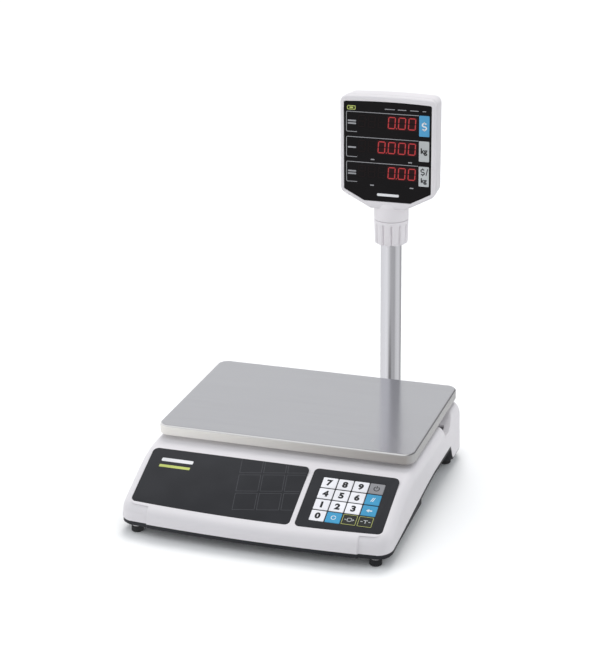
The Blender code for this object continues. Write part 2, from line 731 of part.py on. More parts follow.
for k, y in enumerate(BOLT_FIXED, 1):
    socket_bolt(f"load_cell_bolt_fixed_{k}", y, TRAY_Z - GAP, TRAY_Z - 4.3, 50.0)
for k, y in enumerate(BOLT_FREE, 1):
    socket_bolt(f"load_cell_bolt_free_{k}", y, HUB_Z[1] + GAP, 81.6, 40.0)

# ---------------------------------------------------------------- platter support and bubble level
PLATE_X, PLATE_Y = about(0, 34), (PLATTER_CY - 26, PLATTER_CY + 68.5)
ARM_ROOT = (18.0, 12.0)   # from the platter's middle to the middle of an arm's root, x and y
ARM_TIP = (104.0, 70.0)
ARM_ROOT_HALF, ARM_TIP_HALF = 9, 6.5    # half widths
ARM_END_Z = (70.6, 79.0)
SUPPORT_PAD = ((7.8, 79.3), (8.0, 80.2), (7.2, 84.0), (6.6, SUPPORT_PAD_TOP))
# name, and direction from the platter's middle along x and y
ARMS = (
    ("front_left", -1, -1), ("front_right", 1, -1), ("rear_left", -1, 1), ("rear_right", 1, 1),
)

# a hub that bolts onto the free end of the load cell, a plate and four arms
carrier = box("platter_support", about(0, 19), grown(HUB_OPENING_Y, -3), HUB_Z, CAST_METAL)
plate = rounded_polygon(rectangle(PLATE_X, PLATE_Y), [8] * 4)
join(carrier, prism("carrier_plate", plate, (71.4, 75.2), STEEL))
for k, (tag, way_x, way_y) in enumerate(ARMS):
    root, tip = [(way_x * x, PLATTER_CY + way_y * y) for x, y in (ARM_ROOT, ARM_TIP)]
    along = Vector((tip[0] - root[0], tip[1] - root[1])).normalized()
    across = Vector((-along.y, along.x))
    arm = [Vector(root) + across * ARM_ROOT_HALF, Vector(root) - across * ARM_ROOT_HALF,
           Vector(tip) - across * ARM_TIP_HALF, Vector(tip) + across * ARM_TIP_HALF]
    join(carrier, prism(f"arm_{k}", arm, (71.0, 78.0), STEEL))
    join(carrier, cylinder(f"arm_end_{k}", 10.5, ARM_END_Z, STEEL, tip, 14))
    lathe("support_pad_" + tag, SUPPORT_PAD, SUPPORT_RUBBER, tip, 16)
cut_bolt_holes(carrier, "carrier_bore", BOLT_FREE, 3.4, (50, 90))

# spirit level on the deck, in reach once the platter is off
lathe("bubble_level", [(9.0, DECK_Z + GAP), (9.0, DECK_Z + 3.6), (7.6, DECK_Z + 4.4)],
      LEVEL_LIQUID, (0, PLATTER_CY - 84), 24)

# ---------------------------------------------------------------- platter
PLATTER_SKIRT = 12.0
PLATTER_R = 13.0          # plan radius of the corners
PLATTER_EDGE = 2.8        # rounding of the upper edge
SHEET = 1.0
PLATTER_CORNER_STEPS = 4
PLATTER_EDGE_STEPS = 3
# (inset, height) from the underside of the sheet, down the skirt's inside and out at its foot
PLATTER_INSIDE = (
    (SHEET + PLATTER_EDGE - 0.8, PLATTER_TOP - SHEET),
    (SHEET + 0.6, PLATTER_TOP - SHEET - 0.6),
    (SHEET, PLATTER_TOP - SHEET - PLATTER_EDGE),
    (SHEET, PLATTER_TOP - PLATTER_SKIRT),
    (0, PLATTER_TOP - PLATTER_SKIRT),
)


def platter_ring(inset, z):
    x, y = PLATTER_W / 2 - inset, PLATTER_D / 2 - inset
    r = max(0.6, PLATTER_R - inset)
    corners = ((x - r, -y + r, -90), (x - r, y - r, 0), (-x + r, y - r, 90), (-x + r, -y + r, 180))
    ring = []
    for centre_x, centre_y, start in corners:
        arc = arc_points(centre_x, centre_y, r, math.radians(start), math.radians(start + 90),
                         PLATTER_CORNER_STEPS)
        ring += [(px, py + PLATTER_CY, z) for px, py in arc]
    return ring


# a folded stainless tray, open underneath
rings = [platter_ring(inset, z) for inset, z in PLATTER_INSIDE]
for k in range(PLATTER_EDGE_STEPS + 1):
    angle = math.pi / 2 * k / PLATTER_EDGE_STEPS
    rings.append(platter_ring(PLATTER_EDGE * (1 - math.cos(angle)),
                              PLATTER_TOP - PLATTER_EDGE * (1 - math.sin(angle))))
build("platter", rings, PLATTER_STEEL, sharp=40.0)

# ---------------------------------------------------------------- adjustable feet
FOOT_R = 8.4
# profiles of (radius, height)
FOOT_PAD = (
    (FOOT_R - 1.2, 0), (FOOT_R, 1.0), (FOOT_R - 0.4, 6.0), (FOOT_R - 1.6, 7.0),
    (4.6, 7.0), (4.6, 3.0),
)
FOOT_STUD = (
    (4.2, 3.3), (4.2, 7.2), (6.0, 7.4), (6.0, 9.2), (3.9, 9.4), (3.9, 21.0), (3.3, 21.8),
)

for tag, spot in FEET.items():
    lathe("foot_pad_" + tag, FOOT_PAD, FOOT_RUBBER, spot, 16)
    lathe("foot_stud_" + tag, FOOT_STUD, STEEL, spot, 12)

# ---------------------------------------------------------------- pole and its bracket
POLE_SIDES = 28
BRACKET_X, BRACKET_Z = about(POLE_X, 33), (17.0, 57.0)
SOCKET_PROFILE = ((16.4, 16.0), (17.2, 17.0), (17.2, 57.4), (16.2, 58.4))

# the flange outline is in (x, z) and is extruded along Y
flange = rounded_polygon(rectangle(BRACKET_X, BRACKET_Z), [6] * 4)
bracket = prism("pole_bracket", flange, (REAR_Y + 0.4, REAR_Y + 4.6), WHITE_PLASTIC,
                lambda p: (p[0], p[2], p[1]))
join(bracket, box("bracket_web", about(POLE_X, 13), (REAR_Y + 2, POLE_Y - 4), (18.0, 55.0),
                  WHITE_PLASTIC))
join(bracket, lathe("bracket_socket", SOCKET_PROFILE, WHITE_PLASTIC, POLE_XY, POLE_SIDES))
cut(bracket, cylinder("socket_bore", POLE_R + GAP, (19.0, 70.0), WHITE_PLASTIC, POLE_XY,
                      POLE_SIDES))
cut(bracket, cable_way("bracket_cable_way", (REAR_Y - 6, REAR_Y + 20), WHITE_PLASTIC))

pole_wall = [(POLE_BORE, POLE_Z[0]), (POLE_R, POLE_Z[0]), (POLE_R, POLE_Z[1]),
             (POLE_BORE, POLE_Z[1])]
pole = lathe("pole", pole_wall, POLE_METAL, POLE_XY, POLE_SIDES, hollow=True)
cut(pole, cable_way("pole_cable_way", (POLE_Y - 18, POLE_Y - 4), WHITE_PLASTIC))

# ---------------------------------------------------------------- signal cable
CABLE_R = 2.4
CABLE_SIDES = 8
CABLE_BEND = 8.0
CABLE_BEND_STEPS = 4


def sweep_cable(name, path):
    """Round cable along a path of (y, z) in the upright plane through the pole's axis."""
    path = [Vector((POLE_X, y, z)) for y, z in path]
    side = Vector((1, 0, 0))
    rings = []
    for i, point in enumerate(path):
        along = (path[min(len(path) - 1, i + 1)] - path[max(0, i - 1)]).normalized()
        up = along.cross(side).normalized()
        angles = [2 * math.pi * k / CABLE_SIDES for k in range(CABLE_SIDES)]
        rings.append([
            tuple(point + (side * math.cos(a) + up * math.sin(a)) * CABLE_R) for a in angles
        ])
    build(name, rings, CABLE_SHEATH, sharp=50.0)


# in from the housing, round the bend and up the pole
path = [(100.0, CABLE_Z), (130.0, CABLE_Z)]
for k in range(CABLE_BEND_STEPS + 1):
    angle = math.pi / 2 * k / CABLE_BEND_STEPS
    path.append((POLE_Y - CABLE_BEND + CABLE_BEND * math.sin(angle),
                 CABLE_Z + CABLE_BEND * (1 - math.cos(angle))))
path += [(POLE_Y, 170.0), (POLE_Y, 309.0)]
sweep_cable("signal_cable", path)

# ---------------------------------------------------------------- clamp collar and head socket
COLLAR_R = (19.0, 20.2)   # at the bottom and the top
COLLAR_BORE = POLE_R + 0.4
COLLAR_SIDES = 12 * 4     # twelve flutes, one at every fourth point
COLLAR_TURN = math.radians(14.0)
# collar rings: radius, height, depth of the flutes
COLLAR_RINGS = (
    (COLLAR_BORE, COLLAR_Z[1], 0),
    (COLLAR_BORE, COLLAR_Z[0], 0),
    (COLLAR_R[0] - 1.6, COLLAR_Z[0], 0.4),
    (COLLAR_R[0], COLLAR_Z[0] + 1.4, 1.1),
    (COLLAR_R[1] - 0.1, COLLAR_Z[1] - 3.2, 1.1),
    (COLLAR_R[1], COLLAR_Z[1] - 2.4, 0),
    (COLLAR_R[1], COLLAR_Z[1], 0),
)
NECK_R = 20.8
NECK_PROFILE = (
    (COLLAR_BORE, NECK_Z[0]), (NECK_R, NECK_Z[0]), (NECK_R, NECK_Z[1]), (16.4, NECK_Z[1] + 0.2),
    (16.4, 301.0), (COLLAR_BORE, 301.0),
)


def collar_ring(radius, z, groove):
    ring = []
    for k in range(COLLAR_SIDES):
        reach = radius - (groove if k % 4 == 0 else 0.0)
        angle = 2 * math.pi * (k + 0.5) / COLLAR_SIDES + COLLAR_TURN
        ring.append((reach * math.cos(angle) + POLE_X, reach * math.sin(angle) + POLE_Y, z))
    return ring


# ribbed collar that locks the head on the pole, and turns about it
collar = build("head_collar", [collar_ring(*row) for row in COLLAR_RINGS], WHITE_PLASTIC,
               ends="joined", sharp=40.0)
put_origin(collar, (*POLE_XY, COLLAR_Z[0]))

# socket under the head, turning with it on the pole
lathe("head_neck", NECK_PROFILE, WHITE_PLASTIC, POLE_XY, 32, hollow=True)

# ---------------------------------------------------------------- display head
HEAD_Y = (154.2, 194.2)
HEAD_SPLIT = 163.6
# half width, top, lower end of the straight sides, half width of the bottom, bottom
HEAD_OUTLINE = (57.2, 429.4, 314.0, 21.0, 294.6)
WINDOW_OUTLINE = (53.3, 423.9, 317.2, 28.5, 304.3)
TOP_ARCH = 1.6
TOP_ACROSS = 4            # pieces along the arched top
TOP_R = 30.0              # radius that softens the joints of the arch
CHAMFER_SHIFT = 0.24      # share of a growth that moves the ends of the chamfers
HEAD_WALL = 2.4
RIM_IN = 3.2              # rounding of the rim across, which leaves a narrow land round the window
RIM_STEPS = 3
FRONT_RIM, REAR_RIM = 3.6, 7.0    # rounding of the rims in depth
# window opening rings: depth behind the face, growth of the window's outline
OPENING_RINGS = ((0.0, GAP), (2.9, GAP), (2.9, -3.5), (4.9, -3.5))
# inside rings: depth behind the face, inset from the head's outline
INSIDE_RINGS = ((4.9, HEAD_WALL + 1.6), (6.0, HEAD_WALL))


def six_sided_ring(sizes, y, grow, radii):
    """Ring at y: arched top, straight sides, two chamfers into a narrow bottom.
    radii are those of the bottom corners, the lower side corners and the top corners."""
    half, top, side_low, bottom_half, bottom = sizes
    half += grow
    top += grow
    side_low -= grow * CHAMFER_SHIFT
    bottom_half += grow * CHAMFER_SHIFT
    bottom -= grow
    corners = [(-bottom_half, bottom), (bottom_half, bottom), (half, side_low), (half, top)]
    for k in range(1, TOP_ACROSS):
        arch = TOP_ARCH * (1 - (1 - 2 * k / TOP_ACROSS) ** 2)
        corners.append((half - 2 * half * k / TOP_ACROSS, top + arch))
    corners += [(-half, top), (-half, side_low)]
    bottom_r, low_r, top_r = radii
    all_radii = [bottom_r, bottom_r, low_r, top_r] + [TOP_R] * (TOP_ACROSS - 1) + [top_r, low_r]
    return [(x + POLE_X, y, z) for x, z in rounded_polygon(corners, all_radii)]


def head_ring(y, inset):
    radii = (3.0, max(2.0, 10.0 - inset), max(1.5, 9.0 - inset))
    return six_sided_ring(HEAD_OUTLINE, y, -inset, radii)


def window_ring(y, grow):
    return six_sided_ring(WINDOW_OUTLINE, y, grow, (2.0, 2.0, 2.2))


def head_shell(name, face_y, split_y, rim_depth, split_inset):
    """Half of the head: a shallow moulded tub with a recessed opening for the window."""
    way = 1 if split_y > face_y else -1
    rings = [head_ring(split_y, split_inset)]
    for k in range(RIM_STEPS + 1):
        angle = math.pi / 2 * k / RIM_STEPS
        rings.append(head_ring(face_y + way * rim_depth * (1 - math.sin(angle)),
                               RIM_IN * (1 - math.cos(angle))))
    rings += [window_ring(face_y + way * depth, grow) for depth, grow in OPENING_RINGS]
    rings += [head_ring(face_y + way * depth, inset) for depth, inset in INSIDE_RINGS]
    rings.append(head_ring(split_y, HEAD_WALL))
    shell = build(name, rings, WHITE_PLASTIC, ends="joined", sharp=32.0)
    cut(shell, lathe(name + "_neck_opening", [(16.8, 285), (16.9, 302.0)], WHITE_PLASTIC,
                     POLE_XY, 32))


head_shell("head_front_shell", HEAD_Y[0], HEAD_SPLIT - 0.2, FRONT_RIM, split_inset=0.35)
head_shell("head_rear_shell", HEAD_Y[1], HEAD_SPLIT + 0.2, REAR_RIM, split_inset=0.0)
for name, y_span in (
    ("front_window", (HEAD_Y[0] + 0.25, HEAD_Y[0] + 2.55)),
    ("rear_window", (HEAD_Y[1] - 2.55, HEAD_Y[1] - 0.25)),
):
    build(name, [window_ring(y, 0.0) for y in y_span], GLASS, sharp=30.0)

# ---------------------------------------------------------------- display board and LED blocks
LED_X, LED_Z = (POLE_X - 38, POLE_X + 37), (330.0, 411.5)
LED_GAP_Z = (381.5, 351.0)      # top of the second and third rows of digits
# name, y span of the block, y span of the grooves across its face
LED_BLOCKS = (
    ("front_led_block", (161.5, 172.9), (160.5, 166.5)),
    ("rear_led_block", (175.5, 186.9), (181.9, 187.9)),
)

box("display_board", about(POLE_X, 46), (173.4, 175.0), (313.0, 415.0), CIRCUIT_BOARD)
for name, y_span, groove_y in LED_BLOCKS:
    block = box(name, LED_X, y_span, LED_Z, LED_HOUSING)
    for k, z in enumerate(LED_GAP_Z):
        cut(block, box(f"{name}_gap_{k}", about(POLE_X, 50), groove_y, (z - 0.6, z + 9.0),
                       TOOL_BLACK))


# ---------------------------------------------------------------- joint axes
def pivot(name, point, members, parent=None):
    """Empty on a joint's axis; the pieces that move together hang from it and keep their place."""
    spot = Vector(point) / 1000
    empty = bpy.data.objects.new(name, None)
    empty.empty_display_size = 0.02
    empty.matrix_world = Matrix.Translation(spot)
    bpy.context.scene.collection.objects.link(empty)
    if parent:
        empty.parent = parent
        empty.matrix_parent_inverse = Matrix.Translation(-parent.matrix_world.translation)
    for member in members:
        obj = bpy.data.objects[member]
        obj.parent = empty
        obj.matrix_parent_inverse = Matrix.Translation(-spot)
    return empty


# the load cell's free end carries the platform, and the platter lifts off the platform
platform_axis = pivot(
    "platform_axis", (0.0, BOLT_FREE[0], HUB_Z[0]),
    ["platter_support", "load_cell_bolt_free_1", "load_cell_bolt_free_2"]
    + ["support_pad_" + tag for tag, _, _ in ARMS],
)
pivot("platter_axis", (0.0, PLATTER_CY, SUPPORT_PAD_TOP), ["platter"], platform_axis)
# the head turns on the pole
pivot(
    "head_axis", (*POLE_XY, NECK_Z[0]),
    ["head_neck", "head_front_shell", "head_rear_shell", "front_window", "rear_window",
     "display_board", "front_led_block", "rear_led_block"],
)
# each foot screws in and out of its boss
for tag, spot in FEET.items():
    pivot("foot_axis_" + tag, (*spot, 0.0), ["foot_stud_" + tag, "foot_pad_" + tag])
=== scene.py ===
"""Looks for the retail price scale: fine moulded shells, brushed platter, printed film, lit display, studio."""
import json
import math

import bpy
import bmesh
from mathutils import Matrix, Vector

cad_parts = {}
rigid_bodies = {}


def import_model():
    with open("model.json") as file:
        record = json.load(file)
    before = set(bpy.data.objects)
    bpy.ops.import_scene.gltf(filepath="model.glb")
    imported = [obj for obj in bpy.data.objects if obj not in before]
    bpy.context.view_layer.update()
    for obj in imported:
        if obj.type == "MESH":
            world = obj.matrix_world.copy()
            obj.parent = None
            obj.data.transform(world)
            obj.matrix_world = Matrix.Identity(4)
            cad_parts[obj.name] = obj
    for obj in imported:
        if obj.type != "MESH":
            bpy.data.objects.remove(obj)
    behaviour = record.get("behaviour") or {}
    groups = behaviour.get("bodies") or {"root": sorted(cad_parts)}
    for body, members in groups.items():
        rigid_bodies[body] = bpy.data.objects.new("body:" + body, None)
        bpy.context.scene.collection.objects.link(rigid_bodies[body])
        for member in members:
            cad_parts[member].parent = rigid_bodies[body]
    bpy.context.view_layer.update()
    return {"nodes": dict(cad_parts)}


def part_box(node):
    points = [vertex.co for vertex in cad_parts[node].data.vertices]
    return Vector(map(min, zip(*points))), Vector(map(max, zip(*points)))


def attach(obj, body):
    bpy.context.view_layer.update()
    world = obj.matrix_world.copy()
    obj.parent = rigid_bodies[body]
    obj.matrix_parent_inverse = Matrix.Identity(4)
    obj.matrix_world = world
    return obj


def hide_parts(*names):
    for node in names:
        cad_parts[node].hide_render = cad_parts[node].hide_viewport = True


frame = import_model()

NODES = frame["nodes"]


def mm(node):
    low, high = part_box(node)
    return [c * 1000 for c in low], [c * 1000 for c in high]


# ------------------------------------------------------------ dimensions, mm; places come from the frame
POLE_LOW, POLE_HIGH = mm("pole")
POLE_X, POLE_Y = (POLE_LOW[0] + POLE_HIGH[0]) / 2, (POLE_LOW[1] + POLE_HIGH[1]) / 2
POLE_R = (POLE_HIGH[0] - POLE_LOW[0]) / 2
HOUSE_LOW, HOUSE_HIGH = mm("upper_housing")
FRONT_Y, REAR_Y = HOUSE_LOW[1], HOUSE_HIGH[1]
DECK_Z = HOUSE_HIGH[2]
PLATTER_LOW, PLATTER_HIGH = mm("platter")
PLATTER_CY = (PLATTER_LOW[1] + PLATTER_HIGH[1]) / 2
PLATTER_W, PLATTER_D = PLATTER_HIGH[0] - PLATTER_LOW[0], PLATTER_HIGH[1] - PLATTER_LOW[1]
PLATTER_TOP, PLATTER_SKIRT = PLATTER_HIGH[2], PLATTER_HIGH[2] - PLATTER_LOW[2]
FRONT_BOW = 2.78e-4
HALF_W_FRONT, HALF_W_REAR = 157.2, 160.4
CORNER_FRONT, CORNER_REAR = 20.0, 28.0
SHELL = 3.0
SEAM_Z, LEG_Z, GRIP_Z = 16.3, 13.2, 33.8
SLOPE_TOP_Y, SLOPE, DECK_BLEND = -102.7, 0.4307, 9.0
SIDE_SHOULDER, FRONT_SHOULDER, REAR_SHOULDER = (9.0, 14.0), (7.5, 7.5), (8.0, 8.0)
NOTCH_Z, NOTCH_Y = 55.0, (46.8, 49.2, 61.5, 95.5)
TRAY_Z, TRAY_WALL, TRAY_FLOOR, GRIP_IN = 10.0, 2.5, 3.0, 30.0
OVERLAY_LEFT, OVERLAY_RIGHT = (-146.0, 41.5), (47.8, 146.0)
OVERLAY_LEN, OVERLAY_BOW = 85.4, 2.18e-4
KEY_X0, KEY_S0, KEY_PITCH_X, KEY_PITCH_S, KEY_W, KEY_H, KEY_GAP = 61.4, 11.8, 18.0, 16.0, 16.6, 14.6, 0.35
GAP = 0.3
REAR_STEPS = 12
BLOCK_X = 122.4           # the middle of the front stands proud out to here
HEAD_HALF, HEAD_TOP, HEAD_SIDE_LOW, HEAD_BOTTOM, HEAD_BOTTOM_HALF = 57.2, 429.4, 314.0, 294.6, 21.0
HEAD_FRONT_Y, HEAD_REAR_Y = mm("head_front_shell")[0][1], mm("head_rear_shell")[1][1]
HEAD_SPLIT = 163.6
WIN_HALF, WIN_TOP, WIN_SIDE_LOW, WIN_BOTTOM, WIN_BOTTOM_HALF = 53.3, 423.9, 317.2, 304.3, 28.5
TOP_ARCH = 1.6
COLLAR_LOW, COLLAR_HIGH = mm("head_collar")[0][2], mm("head_collar")[1][2]
NECK_LOW = mm("head_neck")[0][2]
SLOPE_ANGLE = math.atan(SLOPE)
CS, SN = math.cos(SLOPE_ANGLE), math.sin(SLOPE_ANGLE)
FEET = {tag: ((mm("foot_pad_" + tag)[0][0] + mm("foot_pad_" + tag)[1][0]) / 2, (mm("foot_pad_" + tag)[0][1] + mm("foot_pad_" + tag)[1][1]) / 2)
        for tag in ("front_left", "front_right", "rear_left", "rear_right")}


# ------------------------------------------------------------ materials
class Look:
    """Small helper round a node tree."""

    def __init__(self, name):
        self.mat = bpy.data.materials.new(name)
        self.mat.use_nodes = True
        self.tree = self.mat.node_tree
        self.shader = self.tree.nodes["Principled BSDF"]
        self.coord = self.add("ShaderNodeTexCoord").outputs["Object"]

    def add(self, kind, **values):
        node = self.tree.nodes.new(kind)
        for key, value in values.items():
            setattr(node, key, value)
        return node

    def link(self, a, b):
        self.tree.links.new(a, b)

    def noise(self, scale, detail=3.0, stretch=None, rough=0.5):
        node = self.add("ShaderNodeTexNoise")
        node.inputs["Scale"].default_value = scale
        node.inputs["Detail"].default_value = detail
        node.inputs["Roughness"].default_value = rough
        source = self.coord
        if stretch:
            mapping = self.add("ShaderNodeMapping")
            mapping.inputs["Scale"].default_value = stretch
            self.link(source, mapping.inputs["Vector"])
            source = mapping.outputs["Vector"]
        self.link(source, node.inputs["Vector"])
        return node.outputs["Fac"]

    def ramp(self, source, a, b, low=0.3, high=0.7):
        node = self.add("ShaderNodeMapRange")
        node.inputs["From Min"].default_value = low
        node.inputs["From Max"].default_value = high
        node.inputs["To Min"].default_value = a
        node.inputs["To Max"].default_value = b
        self.link(source, node.inputs["Value"])
        return node.outputs["Result"]

    def mix(self, factor, a, b):
        node = self.add("ShaderNodeMix", data_type="RGBA")
        node.inputs[6].default_value = (*a, 1.0)
        node.inputs[7].default_value = (*b, 1.0)
        self.link(factor, node.inputs[0])
        return node.outputs[2]

    def bump(self, heights, edge=0.0):
        """heights: list of (source, distance in metres, strength)."""
        last = None
        if edge:
            round_edge = self.add("ShaderNodeBevel", samples=4)
            round_edge.inputs["Radius"].default_value = edge
            last = round_edge.outputs["Normal"]
        for source, distance, strength in heights:
            node = self.add("ShaderNodeBump")
            node.inputs["Distance"].default_value = distance
            node.inputs["Strength"].default_value = strength
            self.link(source, node.inputs["Height"])
            if last:
                self.link(last, node.inputs["Normal"])
            last = node.outputs["Normal"]
        if last:
            self.link(last, self.shader.inputs["Normal"])

    def set(self, **values):
        for key, value in values.items():
            self.shader.inputs[key.replace("_", " ")].default_value = value


def plastic(name, colour, rough, grain=1600.0, depth=2.5e-5, strength=0.25, spread=0.03, edge=0.0, specular=0.5, tint=None):
    look = Look(name)
    shade = tuple(c * (1 - spread) for c in colour)
    lift = tint or tuple(min(1.0, c * (1 + spread)) for c in colour)
    look.link(look.mix(look.ramp(look.noise(14.0, 4.0), 0.0, 1.0), shade, lift), look.shader.inputs["Base Color"])
    look.link(look.ramp(look.noise(70.0, 4.0), rough - 0.05, rough + 0.06), look.shader.inputs["Roughness"])
    look.bump([(look.noise(9.0, 1.0), 4e-4, 0.04), (look.noise(grain, 2.0), depth, strength)], edge)
    look.shader.inputs["Specular IOR Level"].default_value = specular
    return look.mat


def film(name, colour, rough, specular=0.45, grain=2600.0):
    """Printed polyester film with a fine satin tooth."""
    look = Look(name)
    shade = tuple(c * 0.9 for c in colour)
    lift = tuple(min(1.0, c * 1.08) for c in colour)
    look.link(look.mix(look.ramp(look.noise(30.0, 3.0), 0.0, 1.0), shade, lift), look.shader.inputs["Base Color"])
    look.link(look.ramp(look.noise(120.0, 3.0), rough - 0.04, rough + 0.05), look.shader.inputs["Roughness"])
    look.bump([(look.noise(grain, 2.0), 1.5e-5, 0.2)])
    look.shader.inputs["Specular IOR Level"].default_value = specular
    return look.mat


def brushed(name, colour, rough, along="X", anisotropic=0.55, grain=0.22):
    look = Look(name)
    stretch = {"X": (12.0, 1400.0, 1400.0), "Y": (1400.0, 12.0, 1400.0), "Z": (1400.0, 1400.0, 9.0)}[along]
    lines = look.noise(1.0, 3.0, stretch, 0.6)
    wide = look.noise(1.0, 2.0, tuple(s * 0.18 for s in stretch))
    cloud = look.noise(8.0, 3.0)
    look.link(look.mix(look.ramp(lines, 0.0, 1.0, 0.25, 0.75), tuple(c * 0.965 for c in colour), tuple(min(1, c * 1.025) for c in colour)), look.shader.inputs["Base Color"])
    total = look.add("ShaderNodeMath", operation="ADD")
    look.link(look.ramp(wide, rough - 0.015, rough + 0.02), total.inputs[0])
    look.link(look.ramp(cloud, -0.015, 0.02), total.inputs[1])
    look.link(total.outputs[0], look.shader.inputs["Roughness"])
    look.set(Metallic=1.0, Anisotropic=anisotropic)
    across = look.add("ShaderNodeCombineXYZ")
    for i, value in enumerate({"X": (0, 1, 0), "Y": (1, 0, 0), "Z": (0, 1, 0)}[along]):
        across.inputs[i].default_value = value
    if along != "Z":
        look.link(across.outputs[0], look.shader.inputs["Tangent"])
    look.bump([(lines, 6e-6, grain)])
    return look.mat


def metal(name, colour, rough, grain=500.0, strength=0.15):
    look = Look(name)
    look.link(look.mix(look.ramp(look.noise(40.0, 5.0), 0.0, 1.0), tuple(c * 0.88 for c in colour), tuple(min(1, c * 1.06) for c in colour)), look.shader.inputs["Base Color"])
    look.link(look.ramp(look.noise(160.0, 4.0), rough - 0.06, rough + 0.08), look.shader.inputs["Roughness"])
    look.set(Metallic=1.0)
    look.bump([(look.noise(grain, 4.0), 4e-5, strength)])
    return look.mat


def glow(name, colour, power, base=(0.02, 0.01, 0.01)):
    """Lit segment seen through tinted acrylic: its glow varies a little at random across the stroke."""
    look = Look(name)
    look.link(look.ramp(look.noise(200.0, 2.0), 0.32, 0.42), look.shader.inputs["Roughness"])
    look.shader.inputs["Specular IOR Level"].default_value = 0.12
    look.bump([(look.noise(1500.0, 2.0), 1e-5, 0.15)])
    look.link(look.mix(look.ramp(look.noise(900.0, 2.0), 0.0, 1.0), base, tuple(c * 1.3 for c in base)), look.shader.inputs["Base Color"])
    look.link(look.mix(look.ramp(look.noise(600.0, 2.0), 0.0, 1.0), tuple(c * 0.86 for c in colour), colour), look.shader.inputs["Emission Color"])
    look.set(Emission_Strength=power)
    return look.mat


def circuit(name):
    look = Look(name)
    base = look.mix(look.ramp(look.noise(90.0, 3.0), 0.0, 1.0), (0.015, 0.09, 0.035), (0.022, 0.13, 0.05))
    look.link(base, look.shader.inputs["Base Color"])
    brick = look.add("ShaderNodeTexVoronoi", feature="DISTANCE_TO_EDGE")
    brick.inputs["Scale"].default_value = 260.0
    look.link(look.coord, brick.inputs["Vector"])
    look.bump([(brick.outputs["Distance"], 8e-5, 0.35)])
    look.link(look.ramp(look.noise(110.0, 3.0), 0.30, 0.46), look.shader.inputs["Roughness"])
    return look.mat


WHITE = plastic("housing_white_moulded", (0.728, 0.706, 0.730), 0.36, edge=0.0005, spread=0.012, tint=(0.742, 0.718, 0.740))
WHITE_HEAD = plastic("head_white_moulded", (0.748, 0.722, 0.746), 0.36, edge=0.0004, spread=0.012, tint=(0.763, 0.735, 0.756))
BLACK = plastic("tray_black_moulded", (0.022, 0.023, 0.028), 0.50, specular=0.3, grain=900.0, depth=6e-5, strength=0.5, spread=0.12, edge=0.0004)
RUBBER = plastic("rubber_black", (0.016, 0.016, 0.018), 0.75, grain=1300.0, depth=5e-5, strength=0.5, spread=0.15)
INLET = plastic("inlet_black", (0.018, 0.018, 0.02), 0.38, spread=0.1)
CASE = plastic("battery_case_blue", (0.035, 0.045, 0.075), 0.42, grain=700.0, depth=5e-5, strength=0.4, spread=0.1)
DARK_FILM = film("film_charcoal", (0.0315, 0.0320, 0.0360), 0.42, 0.18)
LINE_FILM = film("film_pattern_line", (0.080, 0.081, 0.090), 0.42, 0.18)
MARK_WHITE = film("print_white", (0.78, 0.78, 0.80), 0.45)
MARK_LIME = film("print_lime", (0.53, 0.60, 0.16), 0.45)
LINE_GREY = film("print_grey", (0.33, 0.33, 0.35), 0.45)
DIM_GREY = film("print_dim_grey", (0.17, 0.17, 0.18), 0.45)
BLOCK_GREY = film("print_block_grey", (0.50, 0.52, 0.53), 0.45)
BLOCK_BLUE = film("print_block_blue", (0.075, 0.34, 0.60), 0.45)
INK_BLACK = film("print_black", (0.018, 0.018, 0.02), 0.5)
KEY_WHITE = film("key_film_white", (0.87, 0.865, 0.905), 0.42, 0.3)
KEY_BLUE = film("key_film_blue", (0.060, 0.33, 0.57), 0.42, 0.3)
KEY_GREY = film("key_film_grey", (0.29, 0.287, 0.305), 0.42, 0.3)
KEY_DARK = film("key_film_dark", (0.034, 0.035, 0.032), 0.42, 0.25)
KEY_INK_WHITE = film("key_print_pale", (0.72, 0.78, 0.82), 0.42)
KEY_INK_LIME = film("key_print_lime", (0.50, 0.52, 0.16), 0.42)
STEEL = brushed("platter_brushed_steel", (0.70, 0.685, 0.70), 0.20, "X", 0.75, 0.05)


